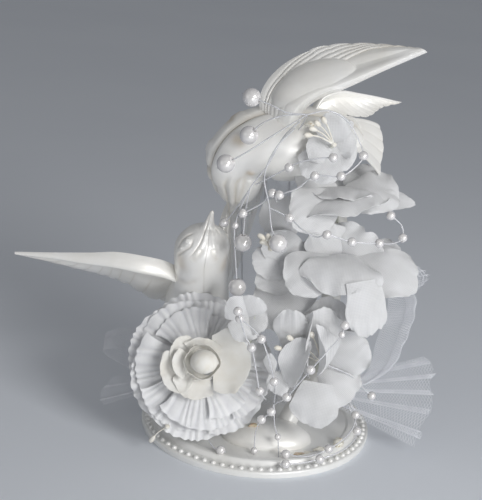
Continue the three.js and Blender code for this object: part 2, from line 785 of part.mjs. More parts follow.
const stamenSets = {
  breast_stamens: {
    rootShare: [0.235, -0.215, 1.445],
    tipShares: [[0.14, -0.3, 1.56], [0.12, -0.29, 1.53], [0.17, -0.3, 1.58], [0.1, -0.3, 1.5]],
  },
  middle_stamens: {
    rootShare: [0, -0.3, 0.985],
    tipShares: [[-0.06, -0.28, 1.04], [-0.05, -0.29, 1.01], [-0.02, -0.29, 1.05]],
  },
  lower_stamens: {
    rootShare: [0.27, -0.287, 0.463],
    tipShares: [[0.05, -0.4, 0.57], [0.1, -0.41, 0.63], [0.2, -0.42, 0.66]],
  },
  left_stamen: { rootShare: [-0.394, -0.418, 0.159], tipShares: [[-0.47, -0.385, 0.06]] },
};

// Pearl sprays: pearls threaded on stiff clear wire. Each stop of a strand is a place in
// shares, with the diameter of the pearl that sits there, if any.
function pearlRings(spot, diameter, wire, extra) {
  const radius = diameter / 2 + extra;
  return [-1, -0.4, 0.4, 1].map((turn) => {
    const angle = (turn * Math.PI) / 2;
    return [spot + radius * Math.sin(angle), Math.max(radius * Math.cos(angle), wire)];
  });
}

function strand(stops, put, extra) {
  const points = stops.map(put);
  const final = points[points.length - 1];
  const [, , , finalPearl = 0] = stops[stops.length - 1];
  const stub = final.clone().sub(points[points.length - 2]).setLength(finalPearl / 2 + WIRE_DIAMETER);
  const curve = smooth([...points, final.clone().add(stub)]);
  const samples = 40;
  const lengths = curve.getLengths(samples * stops.length);
  const total = lengths[lengths.length - 1];
  const wire = WIRE_DIAMETER / 2 + extra;
  const pearls = stops
    .map(([, , , diameter = 0], i) => ({ spot: lengths[samples * i], diameter }))
    .filter(({ diameter }) => diameter);
  const stations = pearls.flatMap(({ spot, diameter }) => pearlRings(spot, diameter, wire, extra));
  const steps = Math.ceil(total / WIRE_STEP);
  for (let i = 0; i <= steps; i++) {
    const distance = (i / steps) * total;
    const clear = pearls.every((p) => Math.abs(distance - p.spot) > p.diameter / 2 + WIRE_DIAMETER);
    if (clear || i === 0 || i === steps) stations.push([distance, wire]);
  }
  const inside = stations.filter(([distance]) => distance >= 0 && distance <= total);
  return rod(curve, inside.sort((a, b) => a[0] - b[0]), 5);
}

const knotShare = [0.11, -0.27, 1.58];
const beakKnotShare = [-0.11, -0.22, 1.22];
const sprays = {
  spray_crown: [
    [knotShare, [0.1, -0.19, 1.53], [0.08, -0.1, 1.46]],
    [
      knotShare, [0.02, -0.26, 1.58], [-0.04, -0.24, 1.6], [-0.13, -0.2, 1.62, LARGE_PEARL],
    ],
    [
      knotShare, [0, -0.25, 1.56], [-0.08, -0.21, 1.51], [-0.13, -0.18, 1.45, LARGE_PEARL],
    ],
    [
      knotShare, [-0.01, -0.26, 1.49], [-0.14, -0.22, 1.38], [-0.22, -0.19, 1.32, LARGE_PEARL],
    ],
    [
      knotShare, [0.2, -0.26, 1.6], [0.28, -0.25, 1.56], [0.33, -0.25, 1.49],
      [0.36, -0.27, 1.42, SMALL_PEARL], [0.32, -0.31, 1.37], [0.27, -0.33, 1.34, SMALL_PEARL],
      [0.16, -0.32, 1.33, SMALL_PEARL], [0.1, -0.3, 1.27], [0.02, -0.27, 1.22, SMALL_PEARL],
    ],
  ],
  spray_falls: [
    [
      [0.08, -0.28, 1.55], [0.02, -0.27, 1.48], [-0.04, -0.24, 1.34], beakKnotShare,
      [-0.16, -0.18, 1.04, TINY_PEARL], [-0.15, -0.18, 0.9], [-0.13, -0.2, 0.76, LARGE_PEARL],
    ],
    [
      beakKnotShare, [-0.12, -0.19, 1.1], [-0.12, -0.17, 0.96, LARGE_PEARL],
    ],
    [
      beakKnotShare, [-0.15, -0.19, 1.14], [-0.18, -0.15, 1.08], [-0.21, -0.12, 1.03, SMALL_PEARL],
    ],
  ],
  spray_middle: [
    [
      [0.06, -0.29, 1.52], [-0.01, -0.28, 1.43], [-0.05, -0.27, 1.3], [-0.02, -0.28, 1.17],
      [0, -0.3, 1.07], [0.03, -0.32, 1.02, LARGE_PEARL],
    ],
  ],
  spray_beak: [
    [
      [0.01, -0.31, 1.2], [-0.01, -0.25, 1.22, SMALL_PEARL], [-0.05, -0.24, 1.17],
      [-0.13, -0.225, 1.112, SMALL_PEARL],
    ],
  ],
  spray_breast: [
    [
      [0.23, -0.34, 1.42, SMALL_PEARL], [0.17, -0.33, 1.41], [0.09, -0.31, 1.38],
      [0.05, -0.29, 1.35, SMALL_PEARL], [-0.03, -0.26, 1.29], [-0.08, -0.23, 1.25],
    ],
  ],
  spray_loop: [
    [
      [0.51, -0.22, 1.15, SMALL_PEARL], [0.56, -0.22, 1.11], [0.57, -0.24, 1.06, SMALL_PEARL],
      [0.52, -0.3, 1.05], [0.46, -0.34, 1.06, SMALL_PEARL], [0.34, -0.38, 1.07, SMALL_PEARL],
      [0.23, -0.4, 1.1, SMALL_PEARL], [0.19, -0.38, 1.08], [0.13, -0.36, 1.1],
      [0.07, -0.3, 1.13, SMALL_PEARL], [-0.01, -0.28, 1.16],
    ],
  ],
  spray_rose_left: [
    [
      [-0.12, -0.44, 0.74, SMALL_PEARL], [-0.08, -0.44, 0.63], [-0.05, -0.45, 0.58, SMALL_PEARL],
      [-0.02, -0.46, 0.47], [0, -0.45, 0.38, SMALL_PEARL], [0.03, -0.4, 0.32],
    ],
  ],
  spray_rose_right: [
    [
      [-0.11, -0.42, 0.7, SMALL_PEARL], [-0.05, -0.43, 0.66], [-0.01, -0.44, 0.62, SMALL_PEARL],
      [0.03, -0.45, 0.53], [0.06, -0.45, 0.43, SMALL_PEARL], [0.07, -0.4, 0.35],
      [0.07, -0.397, 0.31],
    ],
  ],
  spray_diagonal: [
    [
      [0.34, -0.46, 0.72, SMALL_PEARL], [0.33, -0.47, 0.68, TINY_PEARL], [0.28, -0.48, 0.61],
      [0.21, -0.5, 0.52, SMALL_PEARL], [0.16, -0.49, 0.44], [0.12, -0.47, 0.37, SMALL_PEARL],
      [0.07, -0.39, 0.295],
    ],
  ],
  spray_foot: [
    [
      [0.07, -0.38, 0.3], [0.06, -0.42, 0.27, SMALL_PEARL], [0.02, -0.42, 0.23, SMALL_PEARL],
      [0, -0.4, 0.16], [0, -0.4, 0.065, TINY_PEARL],
    ],
    [
      [0.07, -0.38, 0.3], [0.08, -0.4, 0.2], [0.1, -0.38, 0.13, TINY_PEARL], [0.11, -0.41, 0.05],
    ],
  ],
  spray_net: [
    [
      [0.3, -0.3, 0.46], [0.4, -0.3, 0.42], [0.44, -0.29, 0.38, SMALL_PEARL],
      [0.51, -0.26, 0.31, SMALL_PEARL],
    ],
  ],
};

// The sprays that lie on the base, in shares of its radius from the middle of its floor
const baseSprays = {
  spray_base_inner: [
    [
      [0.667, -0.444, 0.54], [0.833, -0.444, 0.283, SMALL_PEARL], [0.778, -0.611, 0.191],
      [0.611, -0.741, 0.098, SMALL_PEARL], [0.426, -0.815, 0.052], [0.26, -0.796, 0.052, SMALL_PEARL],
    ],
  ],
  spray_base_outer: [
    [
      [0.704, -0.37, 0.469], [0.852, -0.519, 0.172, SMALL_PEARL], [0.741, -0.722, 0.098],
      [0.537, -0.843, 0.052, SMALL_PEARL], [0.37, -0.907, 0.033], [0.26, -0.935, 0.033, SMALL_PEARL],
    ],
  ],
  spray_left: [
    [
      [-0.407, -0.667, 0.098], [-0.333, -0.778, 0.052], [-0.278, -0.796, 0.043, SMALL_PEARL],
    ],
  ],
};

const onBase = ([x, y, z]) =>
  new THREE.Vector3(x, y, z).multiplyScalar(BASE_RADIUS).setZ(FLOOR_HEIGHT + z * BASE_RADIUS);

// A spray is one or more strands that leave the same knot.
function spray(strands, put, extra) {
  const made = strands.map((stops) => strand(stops, put, extra));
  const knots = strands.length > 1 ? [ball(put(strands[0][0]), KNOT_DIAMETER, extra)] : [];
  return wasm.Manifold.union([...made, ...knots]);
}

// Net: light sheets gathered at one edge, with folds that run from the gather to the free edge.
function net({ innerShares, outerShares, folds, columns }, extra) {
  const inner = smooth(innerShares.map(place));
  const outer = smooth(outerShares.map(place));
  const at = (u, v) => {
    const start = inner.getPoint(u);
    const reach = outer.getPoint(u).sub(start);
    const length = reach.length();
    const across = reach.normalize();
    const face = outer.getTangent(u).cross(across).normalize();
    const wave = NET_FOLD_DEPTH * v * Math.sin(2 * Math.PI * folds * u);
    return start.addScaledVector(across, v * (length + 2 * extra) - extra).addScaledVector(face, wave);
  };
  return sheet({ columns, rows: 3, at, thickness: () => NET_THICKNESS + 2 * extra });
}

const nets = {
  net_right_fan: {
    innerShares: [[0.27, -0.06, 0.26], [0.27, -0.06, 0.23], [0.27, -0.07, 0.2]],
    outerShares: [
      [0.75, -0.06, 0.44], [0.8, -0.08, 0.37], [0.8, -0.11, 0.28], [0.79, -0.14, 0.17],
      [0.74, -0.2, 0.04],
    ],
    folds: 4,
    columns: 25,
  },
  net_right_loop: {
    innerShares: [
      [0.33, -0.08, 0.38], [0.5, -0.08, 0.52], [0.6, -0.06, 0.63], [0.7, -0.05, 0.65],
      [0.72, -0.05, 0.54], [0.64, -0.07, 0.44], [0.5, -0.09, 0.39],
    ],
    outerShares: [
      [0.33, 0.03, 0.38], [0.48, 0.06, 0.53], [0.56, 0.09, 0.66], [0.68, 0.1, 0.71], [0.71, 0.08, 0.58],
      [0.63, 0.05, 0.46], [0.5, 0.03, 0.4],
    ],
    folds: 1,
    columns: 21,
  },
  net_right_tip: {
    innerShares: [[0.36, 0.03, 0.7], [0.36, 0.02, 0.6]],
    outerShares: [[0.67, 0.06, 0.86], [0.76, 0.05, 0.8], [0.71, 0.03, 0.7]],
    folds: 2,
    columns: 13,
  },
  net_left_loop: {
    innerShares: [[-0.34, 0.09, 0.24], [-0.58, 0.02, 0.33], [-0.74, 0.04, 0.3], [-0.6, 0.02, 0.22]],
    outerShares: [[-0.34, 0.15, 0.28], [-0.6, 0.12, 0.4], [-0.74, 0.14, 0.34], [-0.6, 0.12, 0.26]],
    folds: 1,
    columns: 17,
  },
  net_left_tail: {
    innerShares: [[-0.32, 0.11, 0.2], [-0.32, 0.11, 0.15]],
    outerShares: [[-0.68, 0.02, 0.18], [-0.74, -0.02, 0.1], [-0.72, -0.04, 0.06]],
    folds: 2,
    columns: 13,
  },
  net_veil: {
    innerShares: [[-0.1, 0.1, 0.06], [0.06, 0.12, 0.05], [0.22, 0.14, 0.06]],
    outerShares: [[-0.2, 0.14, 1.12], [0.02, 0.18, 1.16], [0.24, 0.16, 1.14]],
    folds: 4,
    columns: 21,
  },
};

// Finishes: colour, roughness and metalness
const finish = (color, roughness, metalness = 0) => () =>
  new THREE.MeshStandardMaterial({ color, roughness, metalness });
const pearlPlastic = finish(0xf1eee6, 0.32, 0.05);
const satin = finish(0xf4f3f0, 0.6);
const fabric = finish(0xf7f6f2, 0.85);
const cream = finish(0xf2ecdd, 0.8);
const foam = finish(0xf5f1e6, 0.9);
const pearl = finish(0xe9e5e0, 0.2, 0.1);
const thread = finish(0xf3efe2, 0.6);
const netting = finish(0xf2f3f6, 0.9);
const stemWhite = finish(0xe6e6d8, 0.7);

// Pieces are added in order, and each is cut clear of the ones before it.
const topper = new THREE.Group();
const placed = [];

function meets(a, b) {
  return [0, 1, 2].every((axis) => a.min[axis] < b.max[axis] && b.min[axis] < a.max[axis]);
}

function addPiece(name, material, shape) {
  let made = shape(0);
  for (const other of placed)
    if (meets(made.boundingBox(), other.boundingBox())) made = made.subtract(other);
  made = largest(made);
  placed.push(shape(CLEARANCE));
  const { vertProperties, triVerts, numProp } = made.getMesh();
  const geometry = new THREE.BufferGeometry();
  geometry.setAttribute("position", new THREE.Float32BufferAttribute(vertProperties, numProp));
  geometry.setIndex([...triVerts]);
  const mesh = new THREE.Mesh(geometry, material());
  mesh.name = name;
  topper.add(mesh);
}

addPiece("base_plate", pearlPlastic, beadedBase);
for (const [bird, dove] of [["upper_dove", upperDove], ["lower_dove", lowerDove]]) {
  addPiece(`${bird}_left_half`, pearlPlastic, (extra) => doveHalf(dove, 1, extra));
  addPiece(`${bird}_right_half`, pearlPlastic, (extra) => doveHalf(dove, -1, extra));
}
const feathers = {
  upper_dove_left_wing: upperLeftWing,
  upper_dove_right_wing: upperRightWing,
  upper_dove_tail: upperTail,
  lower_dove_right_wing: lowerRightWing,
  lower_dove_left_wing: lowerLeftWing,
  lower_dove_tail: lowerTail,
};
for (const [name, edges] of Object.entries(feathers))
  addPiece(name, pearlPlastic, (extra) => feathered(edges, extra));
addPiece("dove_stand", pearlPlastic, doveStand);
addPiece("lower_dove_peg", pearlPlastic, lowerDovePeg);
for (const [name, strands] of Object.entries(sprays))
  addPiece(name, pearl, (extra) => spray(strands, place, extra));
for (const [name, strands] of Object.entries(baseSprays))
  addPiece(name, pearl, (extra) => spray(strands, onBase, extra));
for (const [name, route] of Object.entries(stems))
  addPiece(name, stemWhite, (extra) => stem(route, extra));
for (const [name, set] of Object.entries(stamenSets))
  addPiece(name, thread, (extra) => stamens(set, extra));
addPiece("rose_bud", foam, roseBud);
for (const [name, layer] of Object.entries(roseLayers))
  addPiece(name, name.includes("cream") ? cream : satin, (extra) => petalDisc(layer, extra));
for (const [name, layer] of Object.entries(blossomLayers))
  addPiece(name, fabric, (extra) => petalDisc(layer, extra));
for (const [name, edges] of Object.entries(nets)) addPiece(name, netting, (extra) => net(edges, extra));

export default topper;
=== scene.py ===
# %% [markdown]
# # A wedding cake topper
# Two moulded doves with a pearl finish fly over a round beaded base. Fabric flowers,
# pearl sprays and gathered net are tied and glued round them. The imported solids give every
# size and place, and this lesson dresses them: each solid gets a detailed piece or a finish.
# Numbers are millimetres wherever nothing else is said, and MM turns them into metres.

import math

import bpy
import numpy as np
from mathutils import Matrix, Vector


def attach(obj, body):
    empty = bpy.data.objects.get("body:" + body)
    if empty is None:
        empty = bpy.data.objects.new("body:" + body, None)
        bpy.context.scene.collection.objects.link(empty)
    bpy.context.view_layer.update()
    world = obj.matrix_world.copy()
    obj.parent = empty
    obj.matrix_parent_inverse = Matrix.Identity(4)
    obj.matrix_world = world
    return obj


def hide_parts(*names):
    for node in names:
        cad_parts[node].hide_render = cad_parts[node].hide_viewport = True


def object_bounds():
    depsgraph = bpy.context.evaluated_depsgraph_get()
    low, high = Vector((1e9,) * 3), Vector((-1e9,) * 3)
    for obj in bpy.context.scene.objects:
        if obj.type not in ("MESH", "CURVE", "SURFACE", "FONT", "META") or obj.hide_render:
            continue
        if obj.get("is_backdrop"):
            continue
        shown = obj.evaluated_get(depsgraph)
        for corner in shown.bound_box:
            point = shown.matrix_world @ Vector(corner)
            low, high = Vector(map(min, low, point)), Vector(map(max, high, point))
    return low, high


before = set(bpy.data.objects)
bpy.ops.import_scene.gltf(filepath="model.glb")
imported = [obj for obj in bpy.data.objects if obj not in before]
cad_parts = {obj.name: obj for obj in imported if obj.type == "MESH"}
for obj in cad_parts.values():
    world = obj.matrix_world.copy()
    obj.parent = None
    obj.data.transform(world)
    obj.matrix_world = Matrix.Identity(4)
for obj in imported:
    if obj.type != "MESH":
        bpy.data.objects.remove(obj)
cad_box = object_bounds()
MM = 0.001
print("solids:", len(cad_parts), "box in mm:", [[round(x / MM) for x in c] for c in cad_box])

# %% [markdown]
# ## Camera
# The camera looks down by about 19 degrees with a slight roll, which gives the base the
# ellipse that it has in the photograph. How far away it stood can hardly be told from that,
# so 60 cm is chosen. The camera's axes are written as a matrix, because a roll is easier to
# see in vectors than in angles.

# %% Camera
CAMERA_AWAY = 600
LENS, SENSOR = 94.74, 36
look_down, roll = math.radians(18.77), math.radians(4.3)
target = Vector((-12.65, 0, 86.76)) * MM
ahead = Vector((0, math.cos(look_down), -math.sin(look_down)))
above = Vector((0, math.sin(look_down), math.cos(look_down)))
aside = Vector((1, 0, 0))
camera_right = aside * math.cos(roll) + above * math.sin(roll)
camera_up = above * math.cos(roll) - aside * math.sin(roll)
lens = bpy.data.cameras.new("camera")
lens.lens, lens.sensor_width = LENS, SENSOR
camera = bpy.data.objects.new("camera", lens)
bpy.context.scene.collection.objects.link(camera)
turned = Matrix((camera_right, camera_up, -ahead)).transposed().to_4x4()
camera.matrix_world = Matrix.Translation(target - ahead * CAMERA_AWAY * MM) @ turned
bpy.context.scene.camera = camera
bpy.context.scene.view_settings.view_transform = "Standard"
print("camera at, mm:", [round(x / MM) for x in camera.matrix_world.translation])

# %% [markdown]
# ## Studio light
# One large soft lamp stands at the front right and above, as in the photograph, so the
# shadows fall to the left and the pearl finish gets broad highlights. A low lamp in front
# lights the doves' breasts from below. A weak lamp at the left and a dim sky keep the
# shadows open.

# %% Lamps and sky
OBJECT_MIDDLE = Vector((0, 0, 80)) * MM


def soft_lamp(name, place, size, power):
    """A square lamp that points at the object's middle; its power is in watts."""
    lamp = bpy.data.lights.new(name, "AREA")
    lamp.size = size * MM
    lamp.energy = power
    stand = bpy.data.objects.new(name, lamp)
    bpy.context.scene.collection.objects.link(stand)
    stand.location = Vector(place) * MM
    aim = OBJECT_MIDDLE - stand.location
    stand.rotation_euler = aim.to_track_quat("-Z", "Y").to_euler()


soft_lamp("key_lamp", (470, -560, 400), 300, 3.4)
soft_lamp("left_lamp", (-600, -420, 300), 500, 0.35)
soft_lamp("low_lamp", (200, -600, 20), 200, 1.15)
sky = bpy.data.worlds.new("sky")
bpy.context.scene.world = sky
sky.use_nodes = True
backdrop = sky.node_tree.nodes["Background"]
backdrop.inputs["Color"].default_value = (0.94, 0.96, 1, 1)
backdrop.inputs["Strength"].default_value = 0.25
print("lamps:", [lamp.name for lamp in bpy.data.lights])

# %% [markdown]
# ## Finishes
# A finish here is a Principled shader with a few textures in front of it. All of them are
# white, so what tells them apart is gloss, weave and slow changes of tone. Patterns that
# belong to a place in space read Object coordinates, and patterns that follow the cloth
# read an attribute that each petal carries.

# %% Helpers for finishes


def finish(name, colour, roughness, **sockets):
    """A Principled finish; an underscore in a socket's name stands for its space."""
    paint = bpy.data.materials.new(name)
    paint.use_nodes = True
    inputs = shader_of(paint).inputs
    inputs["Base Color"].default_value = (*colour, 1)
    inputs["Roughness"].default_value = roughness
    for socket, value in sockets.items():
        inputs[socket.replace("_", " ")].default_value = value
    return paint


def shader_of(paint):
    """The Principled node of a finish."""
    return paint.node_tree.nodes["Principled BSDF"]


def add_node(paint, kind, values=(), **settings):
    """A new node with these settings, and with these values in its sockets."""
    made = paint.node_tree.nodes.new(kind)
    for name, value in settings.items():
        setattr(made, name, value)
    for socket, value in dict(values).items():
        made.inputs[socket].default_value = value
    return made


def join(paint, output, socket):
    """Links an output to a socket."""
    paint.node_tree.links.new(output, socket)


print("helpers:", [helper.__name__ for helper in (finish, shader_of, add_node, join)])

# %% Patterns, tones and bumps


def spots(paint, size, detail=3):
    """A cloudy grey pattern whose clouds are about size millimetres wide."""
    place = add_node(paint, "ShaderNodeTexCoord")
    cloud = add_node(paint, "ShaderNodeTexNoise", {"Scale": 1 / (size * MM), "Detail": detail})
    join(paint, place.outputs["Object"], cloud.inputs["Vector"])
    return cloud.outputs["Fac"]


def carried(paint, name, output="Fac"):
    """An attribute that the piece carries."""
    return add_node(paint, "ShaderNodeAttribute", attribute_name=name).outputs[output]


def tone(paint, pattern, *stops):
    """Colours along a grey pattern; what already fed the base colour is multiplied in."""
    ramp = add_node(paint, "ShaderNodeValToRGB")
    while len(ramp.color_ramp.elements) < len(stops):
        ramp.color_ramp.elements.new(0.5)
    for element, (spot, colour) in zip(ramp.color_ramp.elements, stops):
        element.position = spot
        element.color = (*colour, 1)
    join(paint, pattern, ramp.inputs["Fac"])
    base = shader_of(paint).inputs["Base Color"]
    if not base.is_linked:
        join(paint, ramp.outputs["Color"], base)
        return
    both = add_node(paint, "ShaderNodeMix", data_type="RGBA", blend_type="MULTIPLY")
    both.inputs["Factor"].default_value = 1
    join(paint, base.links[0].from_socket, both.inputs[6])
    join(paint, ramp.outputs["Color"], both.inputs[7])
    join(paint, both.outputs[2], base)


def clouded(paint, size, *stops):
    """Slow changes of tone, in clouds about size millimetres wide."""
    tone(paint, spots(paint, size), *stops)


def tinted(paint, name, colour):
    """A colour that grows with an attribute of the piece."""
    tone(paint, carried(paint, name), (0, (1, 1, 1)), (1, colour))


def relief(paint, pattern, depth, strength=1.0):
    """A bump of depth millimetres; bumps that are added later build on it."""
    bump = add_node(paint, "ShaderNodeBump", {"Distance": depth * MM, "Strength": strength})
    join(paint, pattern, bump.inputs["Height"])
    normal = shader_of(paint).inputs["Normal"]
    if normal.is_linked:
        join(paint, normal.links[0].from_socket, bump.inputs["Normal"])
    join(paint, bump.outputs["Normal"], normal)


def uneven_gloss(paint, pattern, low, high):
    """Roughness that runs from low to high over a grey pattern."""
    span = add_node(paint, "ShaderNodeMapRange", {"To Min": low, "To Max": high})
    join(paint, pattern, span.inputs["Value"])
    join(paint, span.outputs["Result"], shader_of(paint).inputs["Roughness"])


print("helpers:", [helper.__name__ for helper in (spots, clouded, tinted, uneven_gloss)])

# %% [markdown]
# ### Pearl-finished plastic
# The base and the doves are moulded plastic with a pearl lacquer. Mica in the lacquer gives
# wide soft highlights, so the shader is part metal under a thin clear coat. The colour is
# painted darker and browner as shade in the mould's grooves, along the seam, down the back
# and between the feathers, and old glue leaves tan stains: the pieces carry attributes that
# say where, and the tone is browner there.

# %% Pearl plastic
pearl_plastic = finish(
    "pearl_plastic", (0.93, 0.92, 0.88), 0.36,
    Metallic=0.18, Coat_Weight=0.35, Coat_Roughness=0.22, Sheen_Weight=0.1,
)
clouded(pearl_plastic, 22, (0.3, (0.87, 0.845, 0.79)), (0.5, (0.94, 0.925, 0.885)),
        (0.72, (0.96, 0.95, 0.925)))
# Painted shade: darker and browner in grooves, seam, back valley and between feathers.
tinted(pearl_plastic, "groove_shade", (0.72, 0.66, 0.56))
# Real glue stains, and the upper dove's eye as a spot of painted shade.
tinted(pearl_plastic, "stain_and_shade", (0.62, 0.47, 0.28))
uneven_gloss(pearl_plastic, spots(pearl_plastic, 3), 0.3, 0.44)
relief(pearl_plastic, spots(pearl_plastic, 2.2), 0.06, 0.35)
relief(pearl_plastic, spots(pearl_plastic, 0.35), 0.02, 0.3)
print("pearl plastic nodes:", len(pearl_plastic.node_tree.nodes))

# %% [markdown]
# The base has the same lacquer over whiter plastic, so its tones are closer together and
# its coat is smoother.

# %% Base plastic
base_plastic = finish(
    "base_plastic", (0.86, 0.855, 0.83), 0.3, Metallic=0.1, Coat_Weight=0.3, Coat_Roughness=0.15
)
clouded(base_plastic, 22, (0.3, (0.82, 0.81, 0.775)), (0.5, (0.88, 0.875, 0.85)),
        (0.72, (0.89, 0.89, 0.875)))
relief(base_plastic, spots(base_plastic, 0.35), 0.02, 0.3)
print("base plastic nodes:", len(base_plastic.node_tree.nodes))

# %% [markdown]
# ### Cloth
# The blossoms are die-cut from a plain weave and the rose from a pleated satin. A weave is
# two wave textures that cross, one for the warp and one for the weft. They read the petal's
# own flat coordinates, so the threads turn and bend with it. Some light soaks through.

# %% Threads and light in cloth
WAVES_PER_UNIT = 3.18  # a wave texture of scale 1 has this many waves in one unit


def let_light_through(paint, share, colour):
    """Mixes in light that passes the cloth from behind."""
    through = add_node(paint, "ShaderNodeBsdfTranslucent", {"Color": (*colour, 1)})
    mixed = add_node(paint, "ShaderNodeMixShader", {"Fac": share})
    join(paint, shader_of(paint).outputs["BSDF"], mixed.inputs[1])
    join(paint, through.outputs["BSDF"], mixed.inputs[2])
    out = paint.node_tree.nodes["Material Output"]
    join(paint, mixed.outputs["Shader"], out.inputs["Surface"])


def weave(paint, pitch, depth):
    """Warp and weft, pitch millimetres apart, on the cloth's own flat coordinates."""
    flat = carried(paint, "cloth", "Vector")
    both = add_node(paint, "ShaderNodeMath", operation="ADD")
    shape = {"Scale": 1 / (pitch * WAVES_PER_UNIT), "Distortion": 0.6, "Detail Scale": 0.4}
    for socket, direction in enumerate("XY"):
        wave = add_node(paint, "ShaderNodeTexWave", shape, bands_direction=direction)
        join(paint, flat, wave.inputs["Vector"])
        join(paint, wave.outputs["Fac"], both.inputs[socket])
    half = add_node(paint, "ShaderNodeMath", {1: 0.5}, operation="MULTIPLY")
    join(paint, both.outputs[0], half.inputs[0])
    relief(paint, half.outputs[0], depth, 0.8)
    return half.outputs[0]


print("helpers:", [helper.__name__ for helper in (let_light_through, weave)])

# %% Petal fabric, cream fabric and satin
SOAKED = {"Subsurface_Weight": 0.25, "Subsurface_Scale": 1.2 * MM, "Subsurface_Radius": (1, 1, 1)}
petal_fabric = finish("petal_fabric", (0.86, 0.86, 0.86), 0.8, **SOAKED, Sheen_Weight=0.15)
clouded(petal_fabric, 9, (0.3, (0.8, 0.8, 0.795)), (0.55, (0.87, 0.87, 0.87)),
        (0.75, (0.9, 0.9, 0.905)))
threads_seen = weave(petal_fabric, 0.66, 0.1)
tone(petal_fabric, threads_seen, (0.1, (0.89, 0.89, 0.9)), (0.7, (1, 1, 1)))
let_light_through(petal_fabric, 0.18, (0.95, 0.95, 0.95))

cream_fabric = finish("cream_fabric", (0.84, 0.82, 0.76), 0.8, **SOAKED, Sheen_Weight=0.15)
clouded(cream_fabric, 8, (0.3, (0.8, 0.77, 0.7)), (0.6, (0.86, 0.845, 0.8)),
        (0.8, (0.88, 0.87, 0.84)))
weave(cream_fabric, 0.5, 0.05)

satin = finish("satin", (0.85, 0.85, 0.85), 0.5, **SOAKED, Sheen_Weight=0.3)
clouded(satin, 7, (0.3, (0.78, 0.78, 0.785)), (0.6, (0.87, 0.87, 0.87)), (0.8, (0.9, 0.9, 0.9)))
# Darker in the pleats' valleys: painted shade.
tinted(satin, "groove_shade", (0.9, 0.9, 0.915))
sparkle = spots(satin, 0.5, 1)
uneven_gloss(satin, sparkle, 0.36, 0.7)
relief(satin, sparkle, 0.12, 0.5)
weave(satin, 0.45, 0.04)
print("cloths:", petal_fabric.name, cream_fabric.name, satin.name)

# %% [markdown]
# ### Small finishes
# Imitation pearls are glass beads dipped in pearl lacquer: very smooth, with a clear coat
# and a faint change of hue at a glancing angle. The line they hang on is clear nylon. Hot
# glue is amber where it was hot for long, and milky where it set fast. The bud is a ball of
# foam with open pores.

# %% Pearls, line, thread and foam
pearl = finish(
    "pearl", (0.8, 0.785, 0.78), 0.2, Metallic=0.25, Coat_Weight=0.8, Coat_Roughness=0.06
)
hue = add_node(pearl, "ShaderNodeLayerWeight", {"Blend": 0.35})
tone(pearl, hue.outputs["Facing"], (0, (0.84, 0.82, 0.8)), (0.5, (0.8, 0.78, 0.79)),
     (1, (0.7, 0.71, 0.76)))
# Darker in the drilled holes: painted shade.
tinted(pearl, "groove_shade", (0.3, 0.28, 0.26))
relief(pearl, spots(pearl, 0.6), 0.02, 0.3)

clear_line = finish(
    "clear_line", (0.86, 0.87, 0.9), 0.22,
    Transmission_Weight=0.35, IOR=1.45, Coat_Weight=0.3, Coat_Roughness=0.1,
)
clouded(clear_line, 5, (0.3, (0.78, 0.79, 0.82)), (0.7, (0.9, 0.9, 0.92)))

thread = finish("thread", (0.85, 0.82, 0.74), 0.55, Sheen_Weight=0.2)
clouded(thread, 3, (0.3, (0.76, 0.71, 0.6)), (0.7, (0.88, 0.86, 0.8)))
relief(thread, spots(thread, 0.4), 0.04, 0.5)

foam = finish("foam", (0.85, 0.83, 0.77), 0.9, **SOAKED, Sheen_Weight=0.2)
clouded(foam, 4, (0.3, (0.8, 0.77, 0.69)), (0.7, (0.88, 0.865, 0.82)))
relief(foam, spots(foam, 0.7, 5), 0.15, 0.7)
print("finishes so far:", len(bpy.data.materials))

# %% Glue, stems, net and the floor's paper
glue = finish(
    "glue", (0.62, 0.5, 0.33), 0.28,
    Subsurface_Weight=0.3, Subsurface_Scale=1.5 * MM, Coat_Weight=0.4,
)
clouded(glue, 2.5, (0.3, (0.42, 0.3, 0.17)), (0.6, (0.7, 0.62, 0.48)))
relief(glue, spots(glue, 1.4), 0.2, 0.6)

milky_glue = finish("milky_glue", (0.82, 0.78, 0.66), 0.35, Coat_Weight=0.4)
clouded(milky_glue, 1.6, (0.32, (0.58, 0.47, 0.31)), (0.4, (0.84, 0.81, 0.72)))
relief(milky_glue, spots(milky_glue, 1.2), 0.25, 0.7)

stem_white = finish("stem_white", (0.74, 0.75, 0.66), 0.6, Coat_Weight=0.1)
clouded(stem_white, 3, (0.3, (0.64, 0.66, 0.55)), (0.7, (0.8, 0.81, 0.74)))
relief(stem_white, spots(stem_white, 0.8), 0.08, 0.5)

netting = finish("netting", (0.86, 0.87, 0.9), 0.45, Sheen_Weight=0.3)
clouded(netting, 6, (0.3, (0.78, 0.79, 0.83)), (0.7, (0.9, 0.91, 0.94)))

paper_grey = finish("studio_paper", (0.76, 0.79, 0.84), 0.85)
clouded(paper_grey, 260, (0.3, (0.75, 0.78, 0.83)), (0.7, (0.78, 0.81, 0.855)))
print("finishes:", len(bpy.data.materials))

# %% [markdown]
# ## Floor
# A plain sheet of pale paper, wide enough to fill every view. It is marked as stage, so it
# isn't part of the object.

# %% Floor
FLOOR_WIDTH_IN_METRES = 16


def select(*pieces):
    """Selects these pieces alone, so an operator touches nothing else; the first is active."""
    if bpy.context.object and bpy.context.object.mode != "OBJECT":
        bpy.ops.object.mode_set(mode="OBJECT")
    bpy.ops.object.select_all(action="DESELECT")
    for piece in pieces:
        piece.select_set(True)
    if pieces:
        bpy.context.view_layer.objects.active = pieces[0]


select()
bpy.ops.mesh.primitive_plane_add(size=FLOOR_WIDTH_IN_METRES)
floor = bpy.context.object
floor.name = "floor"
floor.data.materials.append(paper_grey)
floor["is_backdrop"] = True
print("floor:", FLOOR_WIDTH_IN_METRES, "m wide")

# %% [markdown]
# ## Tools for the pieces
# Most pieces here are thin shells. Each starts as a grid primitive, its corners are moved to
# a curved surface, and Solidify gives it a wall. The surface is worked out in millimetres.

# %% Finish, modifiers and shading


